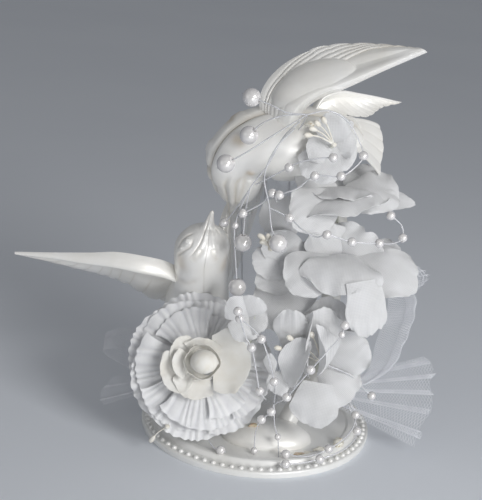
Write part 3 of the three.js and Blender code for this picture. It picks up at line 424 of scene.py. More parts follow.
def keep(piece, nodes, slot, paint):
    """Gives a piece its finish, and hides the solids that it stands for."""
    piece.data.materials.clear()
    piece.data.materials.append(paint)
    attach(piece, "root")
    if nodes:
        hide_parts(*nodes)


def apply_modifier(piece, kind, **settings):
    """Adds a modifier to a piece and applies it at once."""
    select(piece)
    step = piece.modifiers.new(kind.lower(), kind)
    for name, value in settings.items():
        setattr(step, name, value)
    bpy.ops.object.modifier_apply(modifier=step.name)


def shade(piece, angle):
    """Smooth shading, with a crease where two faces meet at more than the angle."""
    select(piece)
    bpy.ops.object.shade_smooth_by_angle(angle=math.radians(angle))


def note(piece, name, values, kind="FLOAT"):
    """Stores one value for each corner, which a finish can read."""
    layer = piece.data.attributes.new(name, kind, "POINT")
    field = "value" if kind == "FLOAT" else "vector"
    layer.data.foreach_set(field, np.asarray(values, np.float32).ravel())


print("helpers:", [helper.__name__ for helper in (keep, apply_modifier, shade, note)])

# %% Corners and patches


def corners_of(piece):
    """The places of a mesh's corners, in metres, one row each."""
    flat = np.empty(len(piece.data.vertices) * 3)
    piece.data.vertices.foreach_get("co", flat)
    return flat.reshape(-1, 3)


def move_corners(piece, places):
    """Puts a mesh's corners at new places, in metres."""
    piece.data.vertices.foreach_set("co", places.ravel())
    piece.data.update()


def patch(name, columns, rows, surface):
    """A grid whose corners go to surface(u, v), with u and v from 0 to 1."""
    select()
    bpy.ops.mesh.primitive_grid_add(x_subdivisions=columns, y_subdivisions=rows, size=1)
    piece = bpy.context.object
    piece.name = name
    flat = corners_of(piece)
    made = surface(flat[:, 0] + 0.5, flat[:, 1] + 0.5)
    move_corners(piece, made.pop("places") * MM)
    for key, values in made.items():
        note(piece, key, values, "FLOAT" if values.ndim == 1 else "FLOAT_VECTOR")
    return piece


def wall(piece, thickness, offset=0.0, **settings):
    """Gives a sheet its thickness; an offset of -1 puts all of it behind the sheet."""
    apply_modifier(
        piece, "SOLIDIFY", thickness=thickness * MM, offset=offset,
        use_even_offset=False, use_quality_normals=True, **settings,
    )


def fuse(pieces, name):
    """Joins pieces into one mesh."""
    select(*pieces)
    if len(pieces) > 1:
        bpy.ops.object.join()
    pieces[0].name = name
    return pieces[0]


print("helpers:", [helper.__name__ for helper in (corners_of, move_corners, patch, wall, fuse)])

# %% Copies and cuts


def copy_at(model, matrix):
    """A copy of a model, put in place by a matrix."""
    one = model.copy()
    one.data = model.data.copy()
    bpy.context.scene.collection.objects.link(one)
    one.matrix_world = matrix
    return one


def settle(pieces):
    """Writes the places of copies into their meshes, so that they lie at the origin."""
    select(*pieces)
    bpy.ops.object.transform_apply(location=True, rotation=True)
    return pieces


def edit_all():
    """Opens the active mesh for modelling, with all of it selected."""
    bpy.ops.object.mode_set(mode="EDIT")
    bpy.ops.mesh.select_all(action="SELECT")


def cut_below(height):
    """Cuts the active mesh off level at a height, and closes the cut."""
    edit_all()
    bpy.ops.mesh.bisect(
        plane_co=(0, 0, height * MM), plane_no=(0, 0, 1), clear_inner=True, use_fill=True
    )
    bpy.ops.object.mode_set(mode="OBJECT")


def unit(rows):
    """The same directions, each with a length of 1."""
    rows = np.asarray(rows, float)
    return rows / np.linalg.norm(rows, axis=-1, keepdims=True)


print("helpers:", [helper.__name__ for helper in (copy_at, settle, edit_all, cut_below)])
print("(3, 4) at length 1:", unit([3, 4]).tolist())

# %% [markdown]
# Edges and wires follow smooth lines through a few places. The line is a Catmull-Rom
# spline with centripetal spacing, which never loops between two places.

# %% Smooth lines


def smooth_line(stops, spots_along):
    """Points at shares 0 to 1 of a smooth line; each span between stops has equal share."""
    stops = np.asarray(stops, float)
    full = np.vstack([2 * stops[0] - stops[1], stops, 2 * stops[-1] - stops[-2]])
    spans = len(stops) - 1
    along = np.clip(np.asarray(spots_along, float), 0, 1) * spans
    first = np.minimum(along.astype(int), spans - 1)
    t = (along - first)[:, None]
    a, b, c, d = (full[first + k] for k in range(4))
    gap_a, gap_b, gap_c = (
        np.maximum(np.linalg.norm(q - p, axis=1, keepdims=True), 1e-6) ** 0.5
        for p, q in ((a, b), (b, c), (c, d))
    )
    leave = (b - a) / gap_a - (c - a) / (gap_a + gap_b) + (c - b) / gap_b
    enter = (c - b) / gap_b - (d - b) / (gap_b + gap_c) + (d - c) / gap_c
    leave, enter = leave * gap_b, enter * gap_b
    two = -3 * b + 3 * c - 2 * leave - enter
    three = 2 * b - 2 * c + leave + enter
    return b + leave * t + two * t**2 + three * t**3


def drawn(stops, count):
    """The whole smooth line, as this many points."""
    return smooth_line(stops, np.linspace(0, 1, count))


def tangent(stops, spots_along):
    """The direction of the smooth line at each share."""
    step = 1e-3
    low, high = np.clip(spots_along - step, 0, 1), np.clip(spots_along + step, 0, 1)
    return unit(smooth_line(stops, high) - smooth_line(stops, low))


print("a bend of three places:", drawn([(0, 0), (5, 3), (10, 0)], 5).round(1).tolist())

# %% [markdown]
# ## Base plate
# The real base is injection moulded: a turned plate with a flange, a raised step and a
# shallow floor, on a ring foot. Turned parts are made by drawing one edge loop and
# extruding it along the profile, the way a lathe tool travels. The half beads round the
# flange are one dome, modelled once and copied.

# %% Turned plate
BASE_RADIUS, RIM_HEIGHT, STEP_RISE, FLOOR_DROP = 54, 3.2, 2.2, 0.7
FLOOR_HEIGHT = RIM_HEIGHT + STEP_RISE - FLOOR_DROP
FLOOR_MIDDLE = FLOOR_HEIGHT - 0.1
STEP_EDGE, STEP_TOP = BASE_RADIUS - 6.2, RIM_HEIGHT + STEP_RISE
PLATE_SIDES = 192
BEAD_DIAMETER, BEAD_PITCH, BEAD_RING, BEAD_SUNK = 2.4, 4.3, BASE_RADIUS - 2.6, 0.25
PROFILE_CORNERS = [  # radius, height, and how much the corner is rounded
    (10, 0.2, 0), (10, 1.8, 0.4), (49.5, 1.8, 0.4), (50, 0, 0.3), (BASE_RADIUS - 0.4, 0, 0.3),
    (BASE_RADIUS, RIM_HEIGHT, 1.3), (STEP_EDGE + 0.4, RIM_HEIGHT - 0.1, 0.7),
    (STEP_EDGE - 0.9, STEP_TOP, 0.8), (STEP_EDGE - 3.9, STEP_TOP, 0.5),
    (STEP_EDGE - 4.7, FLOOR_HEIGHT, 0.5), (26, FLOOR_MIDDLE, 0),
]


def turned_plate(name, profile, sides):
    """A loop of edges, extruded and scaled from one profile stop to the next."""
    select()
    radius, height = profile[0]
    bpy.ops.mesh.primitive_circle_add(
        vertices=sides, radius=radius * MM, location=(0, 0, height * MM), fill_type="NGON"
    )
    piece = bpy.context.object
    piece.name = name
    bpy.ops.object.transform_apply(location=True)
    edit_all()
    bpy.ops.mesh.region_to_loop()
    for (r0, z0), (r1, z1) in zip(profile, profile[1:]):
        bpy.ops.mesh.extrude_edges_move(
            TRANSFORM_OT_translate={"value": (0, 0, (z1 - z0) * MM)}
        )
        bpy.ops.transform.resize(value=(r1 / r0, r1 / r0, 1), center_override=(0, 0, z1 * MM))
    bpy.ops.mesh.edge_face_add()
    bpy.ops.mesh.select_all(action="SELECT")
    bpy.ops.mesh.normals_make_consistent(inside=False)
    bpy.ops.object.mode_set(mode="OBJECT")
    return piece


def rounded(before, corner, after, steps=5):
    """A corner of the profile, turned into a small arc."""
    radius = corner[2]
    before, middle, after = (np.array(p[:2], float) for p in (before, corner, after))
    start = middle + unit(before - middle) * radius
    end = middle + unit(after - middle) * radius
    t = np.linspace(0, 1, steps)[:, None]
    return (1 - t) ** 2 * start + 2 * t * (1 - t) * middle + t**2 * end


profile = [(9, 0.2), (10, 0.2)]
for three in zip(PROFILE_CORNERS, PROFILE_CORNERS[1:], PROFILE_CORNERS[2:]):
    profile += [tuple(p) for p in rounded(*three)]
profile += [(26, FLOOR_MIDDLE), (2, FLOOR_MIDDLE)]
plate = turned_plate("base_plate_moulding", profile, PLATE_SIDES)
print("profile stops:", len(profile), "faces:", len(plate.data.polygons))

# %% Half beads
select()
bpy.ops.mesh.primitive_uv_sphere_add(segments=14, ring_count=10, radius=BEAD_DIAMETER / 2 * MM)
bead = bpy.context.object
cut_below(-BEAD_SUNK)
bead_count = round(2 * math.pi * BEAD_RING / BEAD_PITCH)
beads = []
for i in range(bead_count):
    angle = 2 * math.pi * i / bead_count
    place = Vector((BEAD_RING * math.cos(angle), BEAD_RING * math.sin(angle), RIM_HEIGHT))
    beads.append(copy_at(bead, Matrix.Translation(place * MM)))
bpy.data.objects.remove(bead)
plate = fuse([plate, *settle(beads)], "base_plate_moulding")
shade(plate, 35)
keep(plate, ["base_plate"], "pearl_plastic", base_plastic)
print("beads:", bead_count, "faces:", len(plate.data.polygons))

# %% [markdown]
# ## Doves
# Each dove is moulded in two hollow halves that meet on a seam along the back and the
# breast. A half is a grid: one way runs along the spine, the other round from breast to
# back. The stations of the spine say how wide and how high the body is, and a smooth line
# through them gives a body with no facets. The eye, the beak, the edge of the cheek and the
# lip of the seam are raised or sunk in code, as a sculptor's tool would.

# %% Stations of the spines
# A station: place along the spine, over it and beside it, then half width, height over the
# spine and height under it, all as shares of the dove's size. Twist turns the head, in
# degrees, and fold and seam are the depths of the valley down the back and of the seam;
# they also set how dark the painted shade in them is.
DOVE_SIZE = 50
SEAM_GAP = 0.08
upper_dove = {
    "middle": (13, 3, 139), "forward": (-0.945, 0, -0.327), "back": (-0.3, -0.35, 0.88),
    "twist": 26, "fold": 1.0, "seam": 0.2,
    "stations": [
        (-0.5, -0.08, 0, 0.1, 0.07, 0.08), (-0.38, -0.05, 0, 0.2, 0.16, 0.18),
        (-0.2, -0.02, 0, 0.29, 0.24, 0.27), (0, 0.02, 0, 0.34, 0.29, 0.34),
        (0.19, 0.07, 0, 0.35, 0.33, 0.37), (0.37, 0.11, 0, 0.32, 0.32, 0.33),
        (0.53, 0.08, 0, 0.285, 0.315, 0.27), (0.645, -0.02, 0, 0.26, 0.3, 0.24),
        (0.69, -0.18, 0, 0.24, 0.25, 0.235), (0.735, -0.32, 0, 0.2, 0.2, 0.2),
        (0.775, -0.415, 0, 0.115, 0.115, 0.12), (0.82, -0.48, 0, 0.052, 0.055, 0.055),
        (0.872, -0.595, 0, 0.014, 0.014, 0.014),
    ],
}
lower_dove = {
    "middle": (-31.5, 12, 55), "forward": (0.087, -0.492, 0.866), "back": (-0.15, 0.853, 0.5),
    "twist": 0, "fold": 0, "seam": 0.07,
    "stations": [
        (-0.56, -0.04, 0, 0.1, 0.08, 0.08), (-0.42, -0.03, 0, 0.2, 0.16, 0.18),
        (-0.24, -0.02, 0, 0.27, 0.24, 0.26), (-0.04, 0, 0, 0.3, 0.28, 0.3),
        (0.14, 0, 0, 0.285, 0.27, 0.28), (0.3, 0.01, 0, 0.256, 0.25, 0.25),
        (0.46, 0.05, -0.01, 0.246, 0.245, 0.24), (0.6, 0.09, -0.022, 0.25, 0.25, 0.245),
        (0.71, 0.115, -0.018, 0.243, 0.24, 0.24), (0.8, 0.138, -0.004, 0.196, 0.195, 0.195),
        (0.86, 0.153, 0.0075, 0.12, 0.12, 0.12), (0.905, 0.166, 0.016, 0.058, 0.055, 0.055),
        (1.06, 0.208, 0.036, 0.013, 0.012, 0.012),
    ],
}
print("stations:", len(upper_dove["stations"]), "and", len(lower_dove["stations"]))

# %% Places on a dove
TAIL_CLOSES, BEAK_CLOSES = 0.05, 0.012  # the shares of the spine where its ends round off


def on_dove(dove, shares):
    """Places given as shares of the dove's size from its middle."""
    return np.array(shares, float) * DOVE_SIZE + np.array(dove["middle"])


def spine(dove, along):
    """Middle, up, left, and half width, height over and height under, at each share."""
    forward = unit(dove["forward"])
    left = unit(np.cross(dove["back"], forward))
    back = np.cross(forward, left)
    stations = np.array(dove["stations"]) * DOVE_SIZE
    rows = smooth_line(stations, along)
    slope = tangent(stations[:, :2], along)
    closed = np.clip([1 - along / TAIL_CLOSES, 1 - (1 - along) / BEAK_CLOSES], 0, 1)
    round_ends = np.sqrt(np.clip(1 - closed**2, 1e-4, 1)).prod(axis=0)
    middle = np.array(dove["middle"]) + rows[:, :3] @ np.array([forward, back, left])
    up = -slope[:, 1:] * forward + slope[:, :1] * back
    ease = np.clip((along - 0.35) / 0.25, 0, 1)
    turned = np.radians(dove["twist"]) * (ease**2 * (3 - 2 * ease))[:, None]
    side = left * np.cos(turned) - up * np.sin(turned)
    over = up * np.cos(turned) + left * np.sin(turned)
    return middle, over, side, rows[:, 3:] * round_ends[:, None]


def body(dove, side, along, turn):
    """Places on one half; turn runs from 0 at the breast to 1 at the back."""
    middle, up, left, sizes = spine(dove, along)
    angle = math.pi * (turn - 0.5)
    over = np.where(angle > 0, sizes[:, 1], sizes[:, 2]) * np.sin(angle)
    out = side * (SEAM_GAP / 2 + sizes[:, 0] * np.cos(angle))
    return middle + up * over[:, None] + left * out[:, None]


def skin_normal(dove, side, along, turn):
    """The outward direction, from one small step round the body and one along it."""
    step = 2e-3
    ways = []
    for da, dt in ((0, step), (step, 0)):
        far = body(dove, side, np.clip(along + da, 0, 1), np.clip(turn + dt, 0, 1))
        near = body(dove, side, np.clip(along - da, 0, 1), np.clip(turn - dt, 0, 1))
        ways.append(far - near)
    return unit(np.cross(*ways)) * side


def near_line(places, line):
    """How far each place is from a line of points, and how far along it lies."""
    best = np.full(len(places), 1e9)
    spot = np.zeros(len(places))
    for i in range(len(line) - 1):
        a, b = line[i], line[i + 1]
        share = np.clip(((places - a) @ (b - a)) / ((b - a) @ (b - a)), 0, 1)
        away = np.linalg.norm(places - a - share[:, None] * (b - a), axis=1)
        closer = away < best
        best[closer] = away[closer]
        spot[closer] = ((i + share) / (len(line) - 1))[closer]
    return best, spot


for dove in (upper_dove, lower_dove):
    steps = np.diff(spine(dove, np.linspace(0, 1, 60))[0], axis=0)
    print("spine length, mm:", np.linalg.norm(steps, axis=1).sum().round(1))

# %% [markdown]
# ### Relief on the halves
# A mark is a line of (share along the spine, turn round the body) pairs with a width and a
# height in millimetres: a positive height raises a ridge, and a negative one cuts a furrow
# and paints shade into it. A tan mark leaves the form alone and tints the skin, as old glue
# does; the upper dove's eye is only such a tan spot, painted shade with no dimple carved.

# %% Marks of the mould
MOULDING_WALL = 1.5


def mark(wide, high, *line, side=0, tan=0.0):
    """Side 1 is the dove's left half, -1 its right half, and 0 both."""
    return {"wide": wide, "high": high, "line": line, "side": side, "tan": tan}


MARKS = {
    "upper": [
        mark(0.8, -0.7, (0.575, 0.6), (0.644, 0.674), (0.703, 0.685), (0.86, 0.68)),
        mark(0.8, -0.5, (0.595, 0.74), (0.644, 0.8), (0.73, 0.8), (0.9, 0.8)),
        mark(1.0, 0.6, (0.568, 0.674), (0.622, 0.72), (0.721, 0.74), (0.95, 0.72)),
        mark(1.0, -0.5, (0.523, 0.58), (0.613, 0.573), (0.676, 0.61), (0.77, 0.65)),
        mark(1.3, 0.7, (0.6, 0.52), (0.66, 0.5), (0.72, 0.55)),
        mark(1.3, 0.4, (0.51, 0.53), (0.54, 0.53)),
        mark(5, 0.9, (0.45, 0.84), (0.48, 0.86), side=-1),
        mark(4.4, 1.3, (0.55, 0.82), (0.575, 0.86), side=-1),
        mark(2.2, -1.8, (0.6, 0.7), (0.605, 1), side=-1),
        mark(2.4, 0, (0.482, 0.865), (0.475, 0.83), tan=0.5),
        # The upper dove's eye: a tan spot of painted shade, with no dimple carved.
        mark(1.5, 0, (0.527, 0.528), (0.53, 0.55), tan=0.55),
    ],
    "lower": [
        mark(1.7, 1.0, (0.73, 0.32), (0.765, 0.355), side=-1),
        mark(1.2, 0.5, (0.675, 0.35), (0.69, 0.36), side=-1),
        mark(0.6, -0.5, (0.815, 0.393), (0.77, 0.43), (0.725, 0.43), (0.67, 0.41), side=-1),
        mark(0.6, -0.45, (0.784, 0.281), (0.734, 0.24), (0.694, 0.28), (0.658, 0.32),
             (0.617, 0.38), side=-1),
        mark(1.7, 0.9, (0.71, 0.56), (0.745, 0.58), side=1),
        mark(0.6, -0.6, (0.77, 0.52), (0.72, 0.49), (0.66, 0.52), side=1),
        mark(0.45, -0.42, (0.99, 0.3), (0.94, 0.2), (0.856, 0.14), (0.779, 0.13),
             (0.716, 0.15), (0.65, 0.2), side=-1),
        mark(0.5, -0.25, (0.99, 0.45), (0.93, 0.4), (0.86, 0.36), (0.8, 0.33), side=1),
        mark(0.9, 0.35, (0.9, 0.12), (0.856, 0.095), (0.779, 0.085), (0.716, 0.11), (0.66, 0.14)),
        mark(1.5, 0.2, (0.5, 0.5), (0.495, 0.3), (0.505, 0.19), (0.54, 0.09), side=-1),
        mark(1.5, -0.3, (0.465, 0.5), (0.465, 0.3), (0.475, 0.18), (0.505, 0.08), side=-1),
        mark(1.6, -0.4, (0.74, 0.08), (0.69, 0.1), (0.64, 0.16)),
        mark(3.0, 0, (0.6, 0.3), (0.57, 0.28), tan=0.3),
    ],
}
print("marks:", {bird: len(marks) for bird, marks in MARKS.items()})

# %% Carved halves
SEAM_WIDTH, SEAM_SHADE_WIDTH, VALLEY_WIDTH = 0.3, 0.22, 1.7


def sculpt(dove, marks, side, along, turn):
    """A half with its marks, its seam and the valley down its back carved in."""
    places = body(dove, side, along, turn)
    normal = skin_normal(dove, side, along, turn)
    raised = np.zeros(len(places))
    groove_shade = np.zeros(len(places))
    stain_and_shade = np.zeros(len(places))
    for one in marks:
        if one["side"] == -side:
            continue
        line = np.array(one["line"], float)
        fine = drawn(line, 14) if len(line) > 2 else line
        route = body(dove, side, fine[:, 0], fine[:, 1])
        away, spot = near_line(places, route)
        fade = np.clip(np.minimum(spot, 1 - spot) * 6 + 0.25, 0, 1)
        imprint = np.exp(-((away / one["wide"]) ** 2))
        raised += one["high"] * imprint * fade
        # A cut mark is also darkened: painted shade.
        groove_shade += np.clip(-one["high"], 0, 1) * imprint * fade * 0.7
        stain_and_shade += one["tan"] * imprint
    seam = np.minimum(turn, 1 - turn) * math.pi
    sizes = spine(dove, along)[3]
    reach = seam * np.where(turn > 0.5, sizes[:, 1], sizes[:, 2])
    softened = np.clip(sizes[:, 0] / 2, 0, 1)
    raised -= dove["seam"] * np.exp(-((reach / SEAM_WIDTH) ** 2))
    # A dark line along the seam: painted shade.
    groove_shade += np.exp(-((reach / SEAM_SHADE_WIDTH) ** 2)) * 1.6 * dove["seam"]
    valley = dove["fold"] * np.exp(-((reach / VALLEY_WIDTH) ** 2)) * (turn > 0.5)
    raised -= 1.2 * valley
    # The valley down the back is darkened too: painted shade.
    groove_shade += 0.35 * valley
    return {
        "places": places + normal * (raised * softened)[:, None],
        "groove_shade": np.clip(groove_shade, 0, 1),
        "stain_and_shade": np.clip(stain_and_shade, 0, 1),
    }


def dove_half(name, dove, marks, side):
    """One half as a shell; its wall is 1.5 mm, and less where the beak has no room."""
    room = []

    def surface(u, v):
        room.extend(np.clip(spine(dove, u)[3][:, 0] / 4, 0.02, 1))
        return sculpt(dove, marks, side, u, 1 - v if side > 0 else v)

    piece = patch(name, 170, 90, surface)
    group = piece.vertex_groups.new(name="room")
    for number, share in enumerate(room):
        group.add([number], share, "REPLACE")
    wall(piece, MOULDING_WALL, -1, vertex_group="room")
    piece.vertex_groups.clear()
    shade(piece, 70)
    return piece


for bird, dove in (("upper", upper_dove), ("lower", lower_dove)):
    for side, word in ((1, "left"), (-1, "right")):
        half = dove_half(f"{bird}_dove_{word}_moulding", dove, MARKS[bird], side)
        keep(half, [f"{bird}_dove_{word}_half"], "pearl_plastic", pearl_plastic)
        print(half.name, "faces:", len(half.data.polygons))

# %% [markdown]
# ## Wings and tails
# A wing is one moulding too. Its leading edge is a thick rounded band that thins towards
# the tip, and behind it the blade is thin. Long feathers lie nearly along the wing: the
# lines between them leave the trailing edge at its small steps and run back to the root.
# A smooth egg-shaped shoulder lies over their roots on the upper side. Each blade spans two
# curves, its inner and its outer edge, given as shares of the dove's size.

# %% Feathers


def crest(spots, steps):
    """0 on the line between two feathers and 1 on the middle of a feather."""
    steps = np.array(steps)
    k = np.clip(np.searchsorted(steps, spots), 1, len(steps) - 1)
    share = np.clip((spots - steps[k - 1]) / (steps[k] - steps[k - 1]), 0, 1)
    return np.sqrt(4 * share * (1 - share))


def long_feathers(u, v, tips, starts, fan_from):
    """The same for feathers that run along the wing: each line between two of them starts
    at its own share of the breadth and rises to its tip on the trailing edge."""
    lines = [np.full(len(u), 1.001)]
    for tip, start in zip(tips, starts):
        rise = np.clip((u - fan_from) / (tip - fan_from), 0, 1) ** 1.3
        lines.append(np.where(u < tip, start + (1 - start) * rise, 1.001))
    lines.append(np.zeros(len(u)))
    lines = np.array(lines)
    k = np.sum(v < lines[1:-1], axis=0)
    upper = np.take_along_axis(lines, k[None], 0)[0]
    lower = np.take_along_axis(lines, k[None] + 1, 0)[0]
    share = np.clip((v - lower) / np.maximum(upper - lower, 1e-3), 0, 1)
    share = np.where(upper > 1, np.minimum(share, 0.5), share)
    return np.sqrt(4 * share * (1 - share))


print("two feathers across:", crest(np.linspace(0, 1, 9), [0, 0.5, 1]).round(2).tolist())

# %% One blade
LINES_FAN_FROM = 0.38
ROOT_SINKS = 5


def blade(spec, u, v):
    """Both skins of a blade; u runs from root to tip and v from the inner edge outwards."""
    # The outline, with a notch between two feather tips on the trailing edge.
    v = v**1.4
    inner, outer = on_dove(spec["dove"], spec["inner"]), on_dove(spec["dove"], spec["outer"])
    start = smooth_line(inner, u)
    reach = smooth_line(outer, u) - start
    chord = np.linalg.norm(reach, axis=1)
    across = unit(reach)
    face = unit(np.cross(tangent(inner, u), across))
    notches = crest(u, spec["steps"]) - 1
    away = v * (chord + v**4 * np.minimum(spec["step_depth"], chord / 5) * notches)
    camber = spec["camber"]
    lift = camber * 4 * v * (1 - v) * np.minimum(chord / abs(camber) / 6, 1)

    # The feathers, which fade in behind the leading edge and away from the root.
    if "starts" in spec:
        rib = long_feathers(u, v, spec["steps"][1:-1], spec["starts"], LINES_FAN_FROM)
    else:
        rib = crest(u + spec["slant"] * (1 - v), spec["steps"])
    row = np.clip(chord / 9, 0, 1) * np.clip((v - 0.22) / 0.3, 0, 1)
    row = row * np.clip((u + 0.35 * v - 0.1) / 0.3, 0, 1)
    ribs = rib * row * spec.get("relief", 1)

    # The heights: a round band along the leading edge, the ribs and the shoulder.
    band = smooth_line(np.array(spec["band"], float)[:, None] * [1, 0], u)[:, 0]
    past_band = 2 * away / band - 1
    round_edge = band * np.sqrt(np.clip(1 - past_band**2, 0, 1))
    if spec["lip"]:
        high = np.maximum(round_edge, 0.35 + 0.5 * ribs)
    else:
        behind = np.maximum(band * np.exp(-np.clip(past_band, 0, 9) ** 2 / 14), 0.3)
        high = np.where(away < band / 2, round_edge, behind) + 0.75 * ribs
    shoulder = np.zeros(len(u))
    if "shoulder" in spec:
        u0, v0, wide, deep, tall = spec["shoulder"]
        egg_share = (np.abs((u - u0) / wide) ** 2.4 + np.abs((v - v0) / deep) ** 2.4) ** 0.42
        shoulder = tall * np.sqrt(np.clip(1 - egg_share**2, 0, 1))
        high = np.maximum(high, shoulder + 0.4 * band * np.clip(1 - v, 0, 1))
    # Darker along the lines between feathers: painted shade.
    groove_shade = np.clip(1 - rib, 0, 1) ** 3 * row * (shoulder < 0.05) * 0.5 * spec.get("relief", 1)

    # The two skins; the root is drawn into the body.
    base = start + across * away[:, None] + face * lift[:, None]
    inward = unit(np.array(spec["dove"]["middle"]) - base)
    base += inward * (ROOT_SINKS * np.clip(1 - u / 0.14, 0, 1) ** 2)[:, None]
    seen = face * spec["seen"]
    top, under = base + seen * high[:, None], base - seen * (0.25 + 0.2 * rib * row)[:, None]
    return top, under, np.clip(groove_shade, 0, 1)


def wing(name, spec):
    """Two skins from one grid, joined along their edges."""
    skins = []
    for index in (0, 1):

        def skin(u, v):
            made = blade(spec, u, v)
            return {"places": made[index], "groove_shade": made[2]}

        skins.append(patch(f"{name}_{index}", spec["columns"], spec["rows"], skin))
    piece = fuse(skins, name)
    bpy.ops.object.mode_set(mode="EDIT")
    bpy.ops.mesh.select_all(action="DESELECT")
    bpy.ops.mesh.select_non_manifold()
    bpy.ops.mesh.bridge_edge_loops()
    bpy.ops.mesh.select_all(action="SELECT")
    bpy.ops.mesh.remove_doubles(threshold=0.01 * MM)
    bpy.ops.mesh.normals_make_consistent(inside=False)
    bpy.ops.object.mode_set(mode="OBJECT")
    shade(piece, 50)
    return piece


def mould_blades(specs):
    """Makes a wing or a tail from each row and lets it stand for its solid."""
    for node, spec in specs.items():
        made = wing(node + "_moulding", spec)
        keep(made, [node], "pearl_plastic", pearl_plastic)
        print(made.name, "faces:", len(made.data.polygons))


print("roots sink", ROOT_SINKS, "mm; feather lines fan from", LINES_FAN_FROM, "of the blade")

# %% [markdown]
# Inner and outer are the two edges of a blade, from root to tip. Steps are where feathers
# meet along it, and starts are where the lines of long feathers begin across it. The band
# is the leading edge's breadth from root to tip: with a lip it stands on a thin blade, and
# without one it fades into the blade. Seen tells which face has the form. The shoulder is
# given by its middle, its two reaches and its height.

# %% Wings
WINGS = {
    "upper_dove_left_wing": {
        "dove": upper_dove,
        "inner": [
            (-0.12, -0.2, 0.12), (-0.06, -0.28, 0.34), (0.08, -0.34, 0.48), (0.26, -0.4, 0.58),
            (0.58, -0.48, 0.78), (0.9, -0.56, 0.97),
        ],
        "outer": [
            (-0.4, -0.1, 0.14), (-0.44, -0.08, 0.4), (-0.32, -0.04, 0.62), (-0.02, -0.08, 0.84),
            (0.36, -0.22, 0.94), (0.84, -0.51, 0.99),
        ],
        "steps": [-0.6, 0.58, 0.67, 0.77, 0.86, 0.92, 0.96, 0.985, 1.01],
        "starts": [0.86, 0.79, 0.7, 0.58, 0.45, 0.32, 0.18],
        "step_depth": 0.9, "camber": 1.2, "lip": False, "seen": 1,
        "band": (5.4, 5, 4.2, 3, 2, 1.2), "shoulder": (0.4, 0.36, 0.31, 0.42, 3),
        "columns": 220, "rows": 90,
    },
    "upper_dove_right_wing": {
        "dove": upper_dove,
        "inner": [(0.02, 0.06, 0.38), (0.22, 0.18, 0.44), (0.44, 0.3, 0.4), (0.86, 0.56, 0.3)],
        "outer": [
            (0.06, 0.06, 0.22), (0.3, 0.12, 0.23), (0.54, 0.24, 0.21), (0.66, 0.36, 0.27),
            (0.84, 0.54, 0.29),
        ],
        "steps": [-0.2, 0.15, 0.3, 0.42, 0.53, 0.63, 0.72, 0.8, 0.9, 1.0, 1.3],
        "step_depth": 0.7, "slant": 0.15, "camber": 4, "lip": True, "seen": -1, "relief": 0.25,
        "band": (3.6, 3.4, 2.8, 2, 1), "columns": 130, "rows": 50,
    },
    "lower_dove_right_wing": {
        "dove": lower_dove,
        "inner": [
            (-0.15, -0.16, 0.42), (-0.47, -0.3, 0.52), (-0.75, -0.32, 0.55), (-0.97, -0.3, 0.52),
            (-1.31, -0.26, 0.48), (-1.69, -0.24, 0.45),
        ],
        "outer": [
            (-0.17, 0.2, -0.1), (-0.45, 0.16, -0.04), (-0.69, 0.08, 0.12), (-0.93, -0.02, 0.23),
            (-1.27, -0.14, 0.34), (-1.67, -0.22, 0.43),
        ],
        "steps": [0, 0.14, 0.27, 0.38, 0.47, 0.55, 0.63, 0.71, 0.79, 0.88, 1.0, 1.2],
        "step_depth": 1.5, "slant": 0.15, "camber": 2.4, "lip": True, "seen": 1,
        "band": (6.4, 6.4, 5.6, 4, 1.9, 0.7), "columns": 200, "rows": 90,
    },
    "lower_dove_left_wing": {
        "dove": lower_dove,
        "inner": [
            (0.19, 0, 0.3), (0.15, 0.06, 0.62), (0.19, 0.12, 0.9), (0.31, 0.18, 1.1),
            (0.45, 0.26, 1.32), (0.59, 0.34, 1.58),
        ],
        "outer": [
            (0.31, 0.24, 0.1), (0.41, 0.36, 0.5), (0.49, 0.4, 0.82), (0.55, 0.4, 1.1),
            (0.61, 0.38, 1.34), (0.63, 0.36, 1.56),
        ],
        "steps": [-0.6, 0.58, 0.67, 0.77, 0.86, 0.92, 0.96, 0.985, 1.01],
        "starts": [0.86, 0.79, 0.7, 0.58, 0.45, 0.32, 0.18],
        "step_depth": 0.9, "camber": -1.2, "lip": False, "seen": -1,
        "band": (5, 4.6, 3.8, 2.6, 1.8, 1), "shoulder": (0.4, 0.36, 0.31, 0.42, 2.4),
        "columns": 160, "rows": 60,
    },
}
mould_blades(WINGS)

# %% Tails
TAILS = {
    "upper_dove_tail": {
        "dove": upper_dove,
        "inner": [(0.34, 0.18, 0.22), (0.34, 0.04, 0.14), (0.34, -0.12, 0.04)],
        "outer": [
            (0.62, 0.22, 0.21), (0.67, 0.12, 0.08), (0.686, 0.02, -0.04), (0.666, -0.08, -0.13),
            (0.66, -0.2, -0.21),
        ],
        "steps": [0, 0.17, 0.36, 0.56, 0.78, 1],
        "step_depth": 0.4, "slant": 0, "camber": 1.2, "lip": False, "seen": 1, "relief": 0.22,
        "band": (1.6, 1.6, 1.6), "columns": 110, "rows": 50,
    },
    "lower_dove_tail": {
        "dove": lower_dove,
        "inner": [(-0.15, 0.26, -0.44), (-0.01, 0.3, -0.48), (0.13, 0.26, -0.44)],
        "outer": [
            (-0.31, 0.46, -0.82), (-0.15, 0.54, -0.88), (-0.01, 0.56, -0.9), (0.13, 0.54, -0.88),
            (0.29, 0.46, -0.82),
        ],
        "steps": [0, 0.2, 0.4, 0.6, 0.8, 1],
        "step_depth": 1.2, "slant": 0, "camber": 1.2, "lip": False, "seen": -1,
        "band": (1.6, 1.6, 1.6), "columns": 100, "rows": 44,
    },
}
mould_blades(TAILS)

# %% [markdown]
# ## Stand
# An oval foot with a post rises behind the flowers to the upper dove's belly, and a short
# peg holds the lower dove. The foot is a ball cut off level. The post and the peg are swept
# tubes: a curve with a round bevel, turned into a mesh.

# %% Stand and peg
POST_DIAMETER, PEG_DIAMETER = 9, 8


